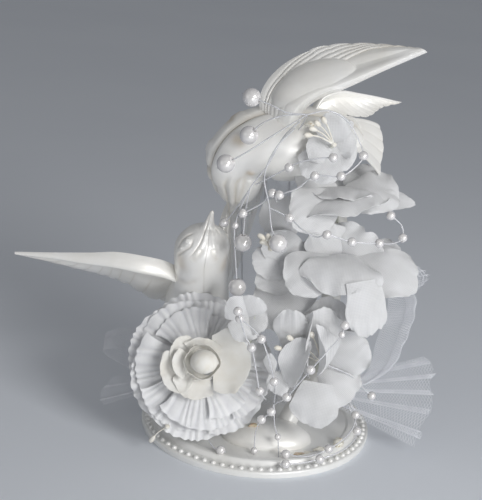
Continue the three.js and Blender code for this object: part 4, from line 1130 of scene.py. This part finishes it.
def tube(name, lines, diameter, radii=None, sides=3):
    """Round rods along lines of points, as one mesh; radii scale each rod along its way."""
    curve = bpy.data.curves.new(name, "CURVE")
    curve.dimensions = "3D"
    curve.bevel_depth = diameter / 2 * MM
    curve.bevel_resolution = sides
    curve.use_fill_caps = True
    for number, line in enumerate(lines):
        rod = curve.splines.new("POLY")
        rod.points.add(len(line) - 1)
        for i, (point, spot) in enumerate(zip(rod.points, line)):
            point.co = (*(np.asarray(spot) * MM), 1)
            point.radius = 1 if radii is None else radii[number][i]
    piece = bpy.data.objects.new(name, curve)
    bpy.context.scene.collection.objects.link(piece)
    select(piece)
    bpy.ops.object.convert(target="MESH")
    piece = bpy.context.object
    shade(piece, 60)
    return piece


def egg(name, middle, sizes, segments=48, rings=28):
    """A ball that is stretched to three sizes and moved to its place."""
    select()
    bpy.ops.mesh.primitive_uv_sphere_add(segments=segments, ring_count=rings, radius=0.5 * MM)
    piece = bpy.context.object
    piece.name = name
    bpy.ops.transform.resize(value=sizes)
    bpy.ops.transform.translate(value=tuple(Vector(middle) * MM))
    bpy.ops.object.transform_apply(location=True, scale=True)
    return piece


foot = egg("stand_foot", (5.5, -23, FLOOR_HEIGHT), (41, 26, 17), 64, 40)
cut_below(FLOOR_HEIGHT)
post_stops = [(14, -14, 8), (26, -4, 32), (30, 0, 62), (31, 1, 95), (28, 2, 110), (18, 3, 124)]
post = tube("stand_post", [drawn(post_stops, 40)], POST_DIAMETER, None, 7)
stand = fuse([foot, post], "dove_stand_moulding")
shade(stand, 50)
keep(stand, ["dove_stand"], "pearl_plastic", pearl_plastic)
peg_line = drawn([(-31, 13, 4.9), (-31, 14, 25), (-31, 15, 43)], 14)
peg = tube("lower_dove_peg_moulding", [peg_line], PEG_DIAMETER, None, 6)
keep(peg, ["lower_dove_peg"], "pearl_plastic", pearl_plastic)
print("stand faces:", len(stand.data.polygons), "peg faces:", len(peg.data.polygons))

# %% [markdown]
# ## Petals
# A petal is die-cut cloth that was pressed over a warm iron. It starts as a grid that
# narrows at the root and is round at the tip. A bent line from root to tip carries it, and
# it is cupped across, ruffled at the edge and, on the satin rose, pressed into ribs.

# %% One petal
CLOTH_THICKNESS = 0.18


def petal(name, root, tip, face, width, bow=0.0, cup=-0.3, ruffle=0.0, notch=0.0, ribs=0,
          rib_depth=0.5, neck=0.3, tilt=0.0, ragged=0.006, square=1.0, seed=0, columns=28,
          rows=28):
    """A petal from root to tip that looks towards face. Bow lifts its middle, cup raises its
    sides, tilt lifts one side, neck is the share of the width at the root, notch dents the
    tip, and square makes the tip rounder as it grows."""
    root, tip = np.array(root, float), np.array(tip, float)
    length = np.linalg.norm(tip - root)
    straight = (tip - root) / length
    across = unit(np.cross(straight, unit(face)))
    out = np.cross(across, straight)
    centre = (root + tip) / 2 + out * bow * 2
    chance = np.random.default_rng(seed)
    phase = chance.uniform(0, 2 * math.pi, 4)
    wave = chance.uniform(0.7, 1.3, 4)

    def surface(u, v):
        # The outline: a runs from root to tip, and b across from -1 to 1.
        a, b = v, 2 * u - 1
        if ribs:
            half = width / 2 * (neck + (1 - neck) * a)
            drop = 0.26 * np.abs(b) ** 2.3
        else:
            swell = neck + (1 - neck) * np.sin(np.minimum(a / 0.7, 1) * math.pi / 2) ** 0.9
            half = width / 2 * swell * (1 - 0.2 * np.clip((a - 0.65) / 0.35, 0, 1) ** 2)
            half = half * (1 + 0.03 * np.sin(8 * a + phase[0] + (b > 0) * 2))
            drop = 0.24 * square * np.abs(b) ** 2.4 + 0.03 * np.sin(3 * b + phase[1])
            drop = drop + ragged * (np.sin(13 * b + phase[2]) + np.sin(21 * b + phase[3]))
        x = b * half
        reach = a * (1 - drop * a**2) - notch * np.exp(-((b / 0.16) ** 2)) * a**8
        # The ruffle: slow waves along the sides and across the tip.
        wavy = 0.5 * ruffle * (
            b**2 * np.sin(2 * math.pi * (1.6 * wave[0] * a) + phase[1] + (b > 0) * 1.7)
            + 0.8 * a**4 * np.sin(2 * math.pi * wave[1] * b + phase[2])
            + 0.25 * a**2 * np.sin(2 * math.pi * 2.3 * b * wave[2] + phase[3])
        )
        # The pleats start a quarter of the way up and wander a little.
        groove_shade = np.zeros(len(a))
        if ribs:
            drift = 0.05 * np.sin(3.1 * b + phase[3]) + 0.02 * np.sin(9 * b + 3 * a + phase[0])
            ridge = 0.5 - 0.5 * np.cos(2 * math.pi * ribs * ((b + 1) / 2 + drift))
            deep = rib_depth * np.clip((a - 0.25) / 0.5, 0, 1)
            deep = deep * (1 + 0.35 * np.sin(5 * b + phase[2]))
            wavy = wavy + deep * (ridge**0.8 - 0.5)
            # The valleys between pleats are marked for painted shade.
            groove_shade = (1 - ridge) ** 2 * np.clip((a - 0.2) / 0.3, 0, 1)
            reach = reach - 0.02 * (1 - ridge) * a**6
        # The places: the bent line, across it, and out of the cloth.
        t = np.clip(reach, 0, 1.05)[:, None]
        line = (1 - t) ** 2 * root + 2 * t * (1 - t) * centre + t**2 * tip
        run = unit(2 * (1 - t) * (centre - root) + 2 * t * (tip - centre))
        lift = np.cross(np.broadcast_to(across, run.shape), run)
        height = cup * (x / width * 2) ** 2 * width / 4 + wavy * width / 20
        height += tilt * b * a * width / 4
        return {
            "places": line + across * x[:, None] + lift * height[:, None],
            "cloth": np.stack([x, a * length, np.full(len(a), seed * 7.0)], 1),
            "groove_shade": np.clip(groove_shade, 0, 1),
        }

    piece = patch(name, columns, rows, surface)
    wall(piece, CLOTH_THICKNESS)
    return piece


def bloom(name, node, slot, paint, petals):
    """Several petals as one piece; the name's length starts the row of seeds."""
    made = [petal(f"{name}_{i}", **{"seed": i + len(name), **one}) for i, one in enumerate(petals)]
    piece = fuse(made, name)
    shade(piece, 80)
    keep(piece, [node], slot, paint)
    print(name, "petals:", len(petals), "faces:", len(piece.data.polygons))


# %% [markdown]
# ## Rose
# Two full rings of pleated satin petals stand behind four that are placed by themselves,
# then come two layers of smooth cream petals and a foam bud. The petals of a ring are
# evenly spread, with small differences, so that they overlap like those of a flower made
# by hand.

# %% Rose petals
ROSE_CENTRE = np.array([-27, -24, 38.5])
ROSE_AXIS = unit([0.06, -0.87, 0.5])
ROSE_RIGHT = unit(np.array([1, 0, 0]) - ROSE_AXIS[0] * ROSE_AXIS)
ROSE_UP = np.cross(ROSE_AXIS, ROSE_RIGHT)
print("the rose faces:", ROSE_AXIS.round(2).tolist())


def rose_petal(angle, inner, outer, low, high, width, **shape):
    """One petal. The angle runs from the rose's right over its top, inner and outer are how
    far root and tip are from the axis, and low and high are their heights along it."""
    ray = ROSE_RIGHT * math.cos(angle) + ROSE_UP * math.sin(angle)
    root = ROSE_CENTRE + ray * inner + ROSE_AXIS * low
    tip = ROSE_CENTRE + ray * outer + ROSE_AXIS * high
    return {"root": root, "tip": tip, "face": ROSE_AXIS, "width": width, **shape}


def ring_of_petals(count, inner, outer, low, high, start, width, seed, lengths, **shape):
    """Petals all round the axis; every other one lies half a millimetre higher."""
    chance = np.random.default_rng(seed)
    rows = []
    for i in range(count):
        angle = 2 * math.pi * (i / count + start) + chance.uniform(-0.07, 0.07)
        far, step = outer * lengths[i % len(lengths)], 0.5 * (i % 2)
        tip_height = high + step + chance.uniform(-0.8, 0.8)
        rows.append(rose_petal(angle, inner, far, low + step, tip_height, width, **shape))
    return rows


# %% Rings and cups of the rose
PLEATED = {"ribs": 8, "rib_depth": 0.36, "ruffle": 0.5, "neck": 0.3, "bow": 1.2,
           "cup": -0.1, "tilt": 0.28, "columns": 88, "rows": 24}
SMOOTH = {"bow": -1, "ruffle": 0.7, "neck": 0.5, "columns": 26, "rows": 22}
BUD_CUP = {**SMOOTH, "bow": -0.3, "cup": 0.9}
FRONT_PETALS = [  # degrees, inner, outer, low, high, width
    (-44, 4, 26, 5.4, 5.6, 27), (-97, 4, 28, 5.8, 5, 29), (58, 4, 23.5, 6, 6.4, 26),
    (116, 4, 26, 5.4, 5.4, 28),
]
CREAM_PETALS = [
    (6, 5, 21.5, 10, 14.5, 29, {"cup": 0.8, "ruffle": 0.5, "neck": 0.85, "columns": 30,
                                "rows": 24}),
    (152, 4, 15.5, 10.2, 13, 15, {"cup": 0.3}),
    (203, 4, 19, 10, 12, 20, {"cup": 0.4}),
    (254, 4, 16.5, 10.2, 12.5, 19, {"cup": 0.3}),
    (88, 4, 11, 10.4, 13.5, 17, {"cup": 0.3, "bow": -0.8}),
]
CUP_PETALS = [
    (187, 5.5, 13, 12.4, 15, 14, {"cup": 0.6, "bow": -1}), (60, 6.4, 7.6, 11.5, 17.2, 15, {}),
    (-50, 6.4, 7.6, 11.5, 17, 16, {}), (240, 6, 7.4, 11.5, 17.1, 15, {}),
    (150, 6, 7.4, 11.5, 17.1, 15, {}),
]


def placed(rows, shape):
    """Rose petals from rows of degrees, numbers and, at the end, what differs."""
    made = []
    for degrees, *numbers in rows:
        own = numbers.pop() if isinstance(numbers[-1], dict) else {}
        made.append(rose_petal(math.radians(degrees), *numbers, **{**shape, **own}))
    return made


bloom("rose_back_petals", "rose_pleated_back", "satin", satin,
      ring_of_petals(7, 3, 33.5, -1, -0.5, 0.02, 35, 3, (1, 0.97, 1.01), **PLEATED))
bloom("rose_middle_petals", "rose_pleated_middle", "satin", satin,
      ring_of_petals(7, 3, 31, 2.2, 2.6, 0.09, 33, 4, (1, 0.95), **PLEATED))
bloom("rose_front_petals", "rose_pleated_front", "satin", satin, placed(FRONT_PETALS, PLEATED))
bloom("rose_cream_cups", "rose_cream_outer", "cream_fabric", cream_fabric,
      placed(CREAM_PETALS, SMOOTH))
bloom("rose_inner_cups", "rose_cream_inner", "cream_fabric", cream_fabric,
      placed(CUP_PETALS, BUD_CUP))

# %% [markdown]
# The bud is a foam ball, a little lower than it is wide. The inner cream petals stand round
# it and leave a dark gap, as they do in the photograph.

# %% Rose bud
BUD_HEIGHT, BUD_ASIDE = 18.05, 0.8
bud_middle = ROSE_CENTRE + ROSE_AXIS * BUD_HEIGHT + ROSE_RIGHT * BUD_ASIDE
bud = egg("rose_foam_bud", bud_middle, (12, 12, 10.2), 40, 28)
shade(bud, 80)
keep(bud, ["rose_bud"], "foam", foam)
print("bud at, mm:", bud_middle.round(1).tolist())

# %% [markdown]
# ## Blossoms
# Each blossom is a stack of two die-cut discs with four or five lobes. The lobes droop and
# crowd each other, so each one is placed by itself: root, tip, the way it faces, width, bow
# and ruffle, and at the end what else differs.

# %% Top and middle blossoms
SHAPE_WORDS = ("root", "tip", "face", "width", "bow", "ruffle")


def make_blossoms(table):
    """Turns each row of a blossom into a petal, and each blossom's petals into one piece."""
    for name, (node, rows) in table.items():
        petals = [
            {**dict(zip(SHAPE_WORDS, row)), **dict(*row[len(SHAPE_WORDS):])} for row in rows
        ]
        bloom(name, node, "petal_fabric", petal_fabric, petals)


HIGH_BLOSSOMS = {
    "top_blossom_front_petals": ("top_blossom_lower", [
        ((29, -9, 119), (37, -29, 117), (0.05, -0.6, 0.8), 42, 3, 1.3, {"cup": -0.2}),
        ((27, -14, 119), (8, -29, 110.5), (-0.2, -0.9, 0.4), 24, 3, 1),
        ((30, -4, 121), (30, -24, 121), (-0.05, -0.6, 0.8), 30, 2.4, 1.2),
        ((14, -7, 113), (-4, -11, 101), (-0.2, -0.95, 0.2), 20, 1.5, 0.8),
        ((42, -6, 119), (61.5, -13, 118), (0.2, -0.8, 0.55), 9, 1.5, 0.4),
        ((30, 2, 115), (36, 24, 117), (0, 0.5, 0.85), 30, 2, 1.2),
    ]),
    "top_blossom_back_petals": ("top_blossom_upper", [
        ((31, -7, 122), (54, -17, 120), (0.1, -0.6, 0.8), 27, 3.5, 1.4),
        ((28, -5, 119), (8, -9, 127), (0, -0.8, 0.6), 17, 2, 0.9),
        ((32, -2, 120), (50, 4, 124), (0.1, -0.5, 0.85), 24, 2, 1.2),
        ((29, 0, 119), (14, 14, 122), (-0.2, 0.2, 0.95), 24, 2, 1.2),
    ]),
    "middle_blossom_back_petals": ("middle_blossom_back", [
        ((17, -10, 88), (-3.5, -16, 98), (-0.5, -0.8, 0.35), 18, 2.5, 0.9),
        ((17, -11, 86), (-8, -17, 88), (-0.4, -0.85, 0.35), 18, 2.5, 0.9),
        ((17, -12, 84), (-5, -19, 79), (-0.4, -0.85, 0.3), 18, 2, 0.9),
        ((22, -15, 82), (-4.5, -23, 61), (-0.3, -0.9, 0.3), 27, 2.5, 1.2),
        ((40, -14, 88), (60, -18, 94), (0.3, -0.7, 0.6), 23, 2, 1.9),
        ((30, -8, 86), (50, 14, 84), (0.3, 0.3, 0.9), 30, 2, 1.2),
        ((28, -8, 86), (10, 16, 86), (-0.3, 0.3, 0.9), 30, 2, 1.2),
    ]),
    "middle_blossom_front_petals": ("middle_blossom_front", [
        ((33, -14, 88), (43, -13, 106), (0, -0.85, 0.5), 27, 2, 2.2, {"notch": 0.08}),
        ((29, -14, 90), (22, -13, 106), (0, -0.85, 0.5), 22, 2, 1.2),
        ((33, -16, 94), (31, -37, 82), (-0.05, -0.8, 0.6), 37, 4, 1.8),
        ((38, -17, 92), (66, -26, 85), (0.15, -0.8, 0.6), 24, 3.5, 1.4),
        ((28, -17, 91), (8, -31, 82), (-0.35, -0.85, 0.4), 24, 3, 1.1),
        ((41, -34, 88.5), (45.5, -38, 65), (0.25, -0.85, 0.45), 19, 1.5, 1,
         {"neck": 0.8, "ragged": 0.012, "square": 0.55}),
    ]),
}
make_blossoms(HIGH_BLOSSOMS)

# %% Lower, breast and small blossoms
OTHER_BLOSSOMS = {
    "lower_blossom_back_petals": ("lower_blossom_back", [
        ((28, -25, 46), (30, -27, 77), (0, -0.97, 0.2), 26, 2, 1.2),
        ((28, -26, 43), (45, -30, 60), (0.3, -0.9, 0.3), 25, 2.5, 1.3),
        ((28, -27, 42), (42, -34, 32), (0.3, -0.9, 0.3), 23, 2.5, 1.3),
        ((31, -22, 50), (48, -20, 48), (0.3, -0.85, 0.4), 24, 2, 1.3),
        ((25, -32, 53), (24, -34, 74.5), (0.1, -0.97, 0.2), 20, 1.5, 1.2),
        ((5, -38, 43.5), (3, -40, 54), (-0.3, -0.95, 0.1), 6, 0.8, 0.3),
    ]),
    "lower_blossom_front_petals": ("lower_blossom_front", [
        ((13, -33, 54), (11, -37, 74.5), (-0.2, -0.95, 0.25), 16, 1.5, 1.4, {"neck": 0.5}),
        ((13, -37, 38), (19, -41, 63), (-0.6, -0.8, 0.1), 14, 2, 0.8, {"cup": 1.2}),
        ((25, -37, 44), (22.5, -41, 69), (0.85, -0.5, 0.1), 12, 1.5, 0.4, {"cup": 2.2}),
        ((21, -35, 42), (20, -38, 73.5), (-0.85, -0.5, 0.1), 11, 1.2, 0.5, {"cup": 1.6}),
        ((13, -34, 41), (4, -40, 37), (-0.2, -0.95, 0.3), 12, 1.2, 0.9),
        ((26, -36, 40), (24, -43, 21.5), (-0.1, -0.97, 0.25), 22, 2, 1.3, {"neck": 0.6}),
    ]),
    "breast_petals": ("breast_blossom", [
        ((24, -17, 144), (22, -20, 158), (-0.1, -0.95, 0.3), 17, 1.2, 0.7),
        ((24, -17, 144), (14.5, -23, 128), (-0.1, -0.95, 0.2), 20, 1.5, 1),
        ((24, -17, 144), (33, -17, 146), (0.2, -0.9, 0.3), 15, 1, 0.6),
        ((24, -17, 144), (32, -17, 134), (0.3, -0.9, 0.3), 15, 1, 0.6),
        ((24, -17, 144), (12, -22, 140), (-0.2, -0.95, 0.2), 13, 1, 0.6),
    ]),
    "small_blossom_petals": ("small_blossom", [
        ((-7, -32, 67), (-17, -35, 75), (-0.2, -0.95, 0.3), 13, 1, 0.6),
        ((-7, -32, 67), (1, -36, 65), (0.2, -0.95, 0.3), 12, 1, 0.6),
        ((-7, -32, 67), (-5, -34, 78), (0, -0.9, 0.4), 13, 1, 0.6),
        ((-7, -32, 67), (-11, -38, 58), (0, -0.95, 0.2), 14, 1, 0.6),
    ]),
}
make_blossoms(OTHER_BLOSSOMS)

# %% [markdown]
# ## Stems
# Behind each flower a plastic calyx and a short stem carry it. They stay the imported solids,
# because their form is right, and only get their finish.

# %% Stems
stems = [solid for node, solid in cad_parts.items() if node.endswith("_stem")]
for stem in stems:
    stem.data.materials.clear()
    stem.data.materials.append(stem_white)
print("stems:", len(stems))

# %% [markdown]
# ## Stamens
# Each stamen is a stiff cotton thread dipped in lacquer, which dries as a drop at the tip.
# A curve with its own radius at each point has both in one sweep, and a small knot ties the
# bunch.

# %% Stamens
STAMENS = {  # the knot, then the tips
    "breast_stamens": [
        (23.5, -21.5, 144.5), (14, -30, 156), (12, -29, 153), (17, -30, 158), (10, -30, 150),
    ],
    "middle_stamens": [(0, -30, 98.5), (-6, -28, 104), (-5, -29, 101), (-2, -29, 105)],
    "lower_stamens": [(27, -28.7, 46.3), (5, -40, 57), (10, -41, 63), (20, -42, 66)],
    "left_stamen": [(-39.4, -41.8, 15.9), (-47, -38.5, 6)],
}
DROP_LENGTH, DROP_RADIUS, THREAD_RADIUS = 4.6, 1.15, 0.3
THREAD_RISE = np.array([0, 0, 1.2])


def drop_profile(away):
    """Radius of a stamen, in millimetres, this far back from its tip."""
    drop = np.sin(np.clip(away / DROP_LENGTH, 0, 1) ** 0.75 * math.pi)
    end = np.where(away < 0.12, 0.05, THREAD_RADIUS)
    return np.maximum(DROP_RADIUS * np.sqrt(np.clip(drop, 0, 1)), end)


for node, (root, *tips) in STAMENS.items():
    root, lines, radii = np.array(root), [], []
    for tip in tips:
        line = drawn([root, (root + tip) / 2 + THREAD_RISE, tip], 48)
        lengths = np.concatenate([[0], np.cumsum(np.linalg.norm(np.diff(line, axis=0), axis=1))])
        lines.append(line)
        radii.append(drop_profile(lengths[-1] - lengths))
    threads = tube(node + "_threads", lines, 2, radii, 4)
    knot = egg(node + "_knot", root, (2.4, 2.4, 2.2), 16, 10)
    bunch = fuse([threads, knot], node + "_threads")
    shade(bunch, 70)
    keep(bunch, [node], "thread", thread)
    print(bunch.name, "threads:", len(tips))

# %% [markdown]
# ## Pearl sprays
# Pearls are threaded on clear nylon line and held by a dab of glue. One pearl of each size
# is modelled with a drilled hole at each end, and copied to each stop that names a size.

# %% Strands
LARGE, SMALL, TINY = 8, 4, 3
LINE_DIAMETER = 0.6
KNOT, BEAK_KNOT, BASE_KNOT = (11, -27, 158), (-11, -22, 122), (14, -43, 7.5)
SPRAYS = {
    "spray_crown": [
        [KNOT, (10, -19, 153), (8, -10, 146)],
        [KNOT, (2, -26, 158), (-4, -24, 160), (-13, -20, 162, LARGE)],
        [KNOT, (0, -25, 156), (-8, -21, 151), (-13, -18, 145, LARGE)],
        [KNOT, (-1, -26, 149), (-14, -22, 138), (-22, -19, 132, LARGE)],
        [KNOT, (20, -26, 160), (28, -25, 156), (33, -25, 149), (36, -27, 142, SMALL),
         (32, -31, 137), (27, -33, 134, SMALL), (16, -32, 133, SMALL), (10, -30, 127),
         (2, -27, 122, SMALL)],
    ],
    "spray_falls": [
        [(8, -28, 155), (2, -27, 148), (-4, -24, 134), BEAK_KNOT, (-16, -18, 104, TINY),
         (-15, -18, 90), (-13, -20, 76, LARGE)],
        [BEAK_KNOT, (-12, -19, 110), (-12, -17, 96, LARGE)],
        [BEAK_KNOT, (-15, -19, 114), (-18, -15, 108), (-21, -12, 103, SMALL)],
    ],
    "spray_middle": [
        [(6, -29, 152), (-1, -28, 143), (-5, -27, 130), (-2, -28, 117), (0, -30, 107),
         (3, -32, 102, LARGE)],
    ],
    "spray_beak": [
        [(1, -31, 120), (-1, -25, 122, SMALL), (-5, -24, 117), (-13, -22.5, 111.2, SMALL)],
    ],
    "spray_breast": [
        [(23, -34, 142, SMALL), (17, -33, 141), (9, -31, 138), (5, -29, 135, SMALL),
         (-3, -26, 129), (-8, -23, 125)],
    ],
    "spray_loop": [
        [(51, -22, 115, SMALL), (56, -22, 111), (57, -24, 106, SMALL), (52, -30, 105),
         (46, -34, 106, SMALL), (34, -38, 107, SMALL), (23, -40, 110, SMALL), (19, -38, 108),
         (13, -36, 110), (7, -30, 113, SMALL), (-1, -28, 116)],
    ],
    "spray_rose_left": [
        [(-12, -44, 74, SMALL), (-8, -44, 63), (-5, -45, 58, SMALL), (-2, -46, 47),
         (0, -45, 38, SMALL), (3, -40, 32)],
    ],
    "spray_rose_right": [
        [(-11, -42, 70, SMALL), (-5, -43, 66), (-1, -44, 62, SMALL), (3, -45, 53),
         (6, -45, 43, SMALL), (7, -40, 35), (7, -39.7, 31)],
    ],
    "spray_diagonal": [
        [(34, -46, 72, SMALL), (33, -47, 68, TINY), (28, -48, 61), (21, -50, 52, SMALL),
         (16, -49, 44), (12, -47, 37, SMALL), (7, -39, 29.5)],
    ],
    "spray_foot": [
        [(7, -38, 30), (6, -42, 27, SMALL), (2, -42, 23, SMALL), (0, -40, 16),
         (0, -40, 6.5, TINY)],
        [(7, -38, 30), (8, -40, 20), (10, -38, 13, TINY), (11, -41, 5)],
    ],
    "spray_base_inner": [
        [(36, -24, 34), (45, -24, 20, SMALL), (42, -33, 15), (33, -40, 10, SMALL), (23, -44, 7.5),
         (*BASE_KNOT, SMALL)],
    ],
    "spray_base_outer": [
        [(38, -20, 30), (46, -28, 14, SMALL), (40, -39, 10), (29, -45.5, 7.5, SMALL),
         (20, -49, 6.5), (14, -50.5, 6.5, SMALL)],
    ],
    "spray_net": [[(30, -30, 46), (40, -30, 42), (44, -29, 38, SMALL), (51, -26, 31, SMALL)]],
    "spray_left": [[(-22, -36, 10), (-18, -42, 7.5), (-15, -43, 7, SMALL)]],
}
print("strands:", sum(len(strands) for strands in SPRAYS.values()))

# %% Pearls on their line
HOLE_SHARE, HOLE_DEPTH = 0.24, 0.16


def drilled_pearl(diameter):
    """A ball whose two poles are pushed in where the line goes through."""
    select()
    bpy.ops.mesh.primitive_uv_sphere_add(segments=24, ring_count=18, radius=diameter / 2 * MM)
    piece = bpy.context.object
    corners = corners_of(piece)
    beside = np.linalg.norm(corners[:, :2], axis=1) / (diameter / 2 * MM)
    hole = np.clip(1 - beside / HOLE_SHARE, 0, 1) ** 0.5
    corners[:, 2] *= 1 - HOLE_DEPTH * hole
    move_corners(piece, corners)
    # The holes are marked for painted shade.
    note(piece, "groove_shade", hole)
    return piece


models = {size: drilled_pearl(size) for size in (LARGE, SMALL, TINY)}
for node, strands in SPRAYS.items():
    lines, beads = [], []
    for stops in strands:
        places = [np.array(stop[:3], float) for stop in stops]
        last = stops[-1][3] if len(stops[-1]) > 3 else 0
        stub = unit(places[-1] - places[-2]) * (last / 2 + LINE_DIAMETER)
        route = [*places, places[-1] + stub]
        lines.append(drawn(route, 14 * len(route)))
        for number, stop in enumerate(stops):
            if len(stop) > 3:
                heading = Vector(tangent(route, np.array([number / (len(route) - 1)]))[0])
                turned = heading.to_track_quat("Z", "Y").to_matrix().to_4x4()
                place = Matrix.Translation(Vector(places[number]) * MM)
                beads.append(copy_at(models[stop[3]], place @ turned))
    pearls = fuse(settle(beads), node + "_pearls")
    shade(pearls, 40)
    keep(pearls, [node], "pearl", pearl)
    wire = tube(node + "_line", lines, LINE_DIAMETER, None, 2)
    keep(wire, [], "pearl", clear_line)
    print(node, "pearls:", len(beads))
for model in models.values():
    bpy.data.objects.remove(model)

# %% [markdown]
# ## Net
# The net is a real lattice. A grid is poked, so that every square gets a cross, and its
# first edges are dissolved, which leaves diamonds. Wireframe then turns each edge into a
# strand. A pleat sends the net back over itself at each fold, and a hem turns its outer edge
# in. The real cut isn't known, so the flat size that is given is the one that the net
# has here when it is opened out: its free edge by its reach.

# %% One net


def net(node, inner, outer, folds, depth, flat, rests_on, cell=1.2, thickness=0.2, pleat=0.0,
        hem=0.0):
    """A net gathered along inner and free along outer. A cell is the width of one mesh, and
    thickness is that of a strand; flat is the size that the last line prints, rounded."""
    inner, outer = np.array(inner, float), np.array(outer, float)

    def folded(u):
        """Where a place of the flat net lies on the gathered one."""
        return np.clip(u + pleat * np.sin(2 * math.pi * folds * u), 0, 1)

    ends = folded(np.linspace(0, 1, 400))
    run, reach = smooth_line(outer, ends), smooth_line(inner, ends)
    width = np.linalg.norm(np.diff(run, axis=0), axis=1).sum()
    length = np.linalg.norm(run - reach, axis=1).mean() * (1 + hem)
    columns, rows = round(width / cell), round(length / cell)

    def surface(u, v):
        """The gathered net, with its folds and its hem."""
        start = smooth_line(inner, folded(u))
        reach = smooth_line(outer, folded(u)) - start
        face = unit(np.cross(tangent(outer, folded(u)), unit(reach)))
        wave = depth * np.cos(2 * math.pi * folds * u) * (0.25 + 0.75 * v)
        wave += 0.3 * depth * np.sin(2 * math.pi * folds * 2.7 * u + 1) * v**2
        far = v * (1 + hem)
        wave += 0.8 * np.clip((far - 1) / 0.05, 0, 1) * (hem > 0)
        far = np.where(far > 1, 2 - far, far) * (1 + 0.025 * np.sin(2 * math.pi * 7 * u))
        return {"places": start + reach * far[:, None] + face * wave[:, None]}

    piece = patch(node + "_lattice", columns, rows, surface)
    bpy.ops.object.mode_set(mode="EDIT")
    bpy.ops.mesh.select_mode(type="EDGE")
    bpy.ops.mesh.select_all(action="SELECT")
    bpy.ops.mesh.poke()
    bpy.ops.object.mode_set(mode="OBJECT")

    # The squares' own edges, without those of the net's rim, are dissolved.
    mesh = piece.data
    pairs = np.empty(len(mesh.edges) * 2, np.int32)
    mesh.edges.foreach_get("vertices", pairs)
    of_grid = (pairs.reshape(-1, 2) < (columns + 1) * (rows + 1)).all(axis=1)
    shared = np.zeros(len(mesh.edges), np.int32)
    loops = np.empty(len(mesh.loops), np.int32)
    mesh.loops.foreach_get("edge_index", loops)
    np.add.at(shared, loops, 1)
    mesh.edges.foreach_set("select", of_grid & (shared == 2))
    mesh.vertices.foreach_set("select", np.zeros(len(mesh.vertices), bool))
    mesh.polygons.foreach_set("select", np.zeros(len(mesh.polygons), bool))
    bpy.ops.object.mode_set(mode="EDIT")
    bpy.ops.mesh.dissolve_edges(use_verts=False)
    bpy.ops.object.mode_set(mode="OBJECT")
    apply_modifier(piece, "WIREFRAME", thickness=thickness * MM, use_even_offset=False)
    keep(piece, [node], "netting", netting)
    print(node, "opens to", round(width), "x", round(length), "mm, declared as", flat)


# %% Net pieces
NETS = {
    "net_right_fan": dict(
        inner=[(27, -6, 26), (27, -6, 23), (27, -7, 20)],
        outer=[(75, -6, 44), (80, -8, 37), (80, -11, 28), (79, -14, 17), (74, -20, 4)],
        folds=5, depth=1.8, flat=(70, 53), rests_on=["dove_stand"], pleat=0.07, cell=1.4,
        thickness=0.23,
    ),
    "net_right_loop": dict(
        inner=[(56, -5, 75), (56, -5, 63), (54, -6, 56), (52, -7, 46), (51, -8, 38), (46, -8, 30),
               (29, -7, 24)],
        outer=[(64, -5, 83), (69, -5, 71), (69, -6, 62), (66, -7, 50), (62, -8, 39), (52, -8, 30),
               (29, -7, 20)],
        folds=1, depth=0.6, flat=(85, 16), rests_on=["dove_stand"], hem=0.35, cell=1.4,
        thickness=0.22,
    ),
    "net_right_tip": dict(
        inner=[(36, 3, 72), (36, 2, 60)],
        outer=[(66, -4, 88), (73, -4, 82), (69, -4, 75)],
        folds=1, depth=0.4, flat=(18, 39), rests_on=["dove_stand"], cell=1.4, thickness=0.22,
    ),
    "net_left_loop": dict(
        inner=[(-34, 9, 24), (-58, 2, 33), (-74, 4, 30), (-60, 2, 22)],
        outer=[(-34, 15, 28), (-60, 12, 40), (-74, 14, 34), (-60, 12, 26)],
        folds=1, depth=0.8, flat=(62, 14), rests_on=["lower_dove_peg"], hem=0.3,
    ),
    "net_left_tail": dict(
        inner=[(-32, 11, 20), (-32, 11, 15)],
        outer=[(-68, 2, 18), (-74, -2, 10), (-72, -4, 6)],
        folds=2, depth=1.2, flat=(19, 43), rests_on=["lower_dove_peg"], pleat=0.12,
    ),
    "net_veil": dict(
        inner=[(-10, 10, 6), (6, 12, 5), (22, 14, 6)],
        outer=[(-20, 14, 112), (2, 18, 116), (24, 16, 114)],
        folds=4, depth=1.6, flat=(48, 110), rests_on=["base_plate"], pleat=0.05,
    ),
}
for node, spec in NETS.items():
    net(node, **spec)

# %% [markdown]
# ## Glue
# Hot glue sets as it runs: flat lumps with soft edges, brown where it was hot for long. A
# dab is a ball that is pressed flat and made uneven. The places are where the flowers and
# the sprays meet the base and the stand.

# %% Glue dabs
DABS = [
    ((-1, -27, 12.5), (5, 3, 1.8), glue), ((20.5, -37, 4.6), (6, 4, 1.4), glue),
    ((25, -35, 4.4), (6, 4, 1.8), milky_glue), ((31, -31.5, 5), (8, 3.4, 2.6), milky_glue),
    ((38.5, -25, 6), (5, 7, 4), milky_glue), ((12.5, -19, 152), (4, 3, 2.6), milky_glue),
]
for number, (place, sizes, paint) in enumerate(DABS):
    dab = egg(f"glue_dab_{number}", place, sizes, 32, 20)
    corners = corners_of(dab)
    middle = np.array(place) * MM
    x, y, z = (corners / MM * 1.3 + number).T
    uneven = 1 + 0.16 * np.sin(x * 1.1) * np.cos(y * 1.3 + z)
    move_corners(dab, middle + (corners - middle) * uneven[:, None])
    shade(dab, 80)
    keep(dab, [], None, paint)
print("dabs:", len(DABS))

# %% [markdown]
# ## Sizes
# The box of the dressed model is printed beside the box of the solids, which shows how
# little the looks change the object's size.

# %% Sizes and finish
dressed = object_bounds()
for name, box in (("solids", cad_box), ("dressed", dressed)):
    print(name, "box in mm:", [[round(x / MM, 1) for x in corner] for corner in box])
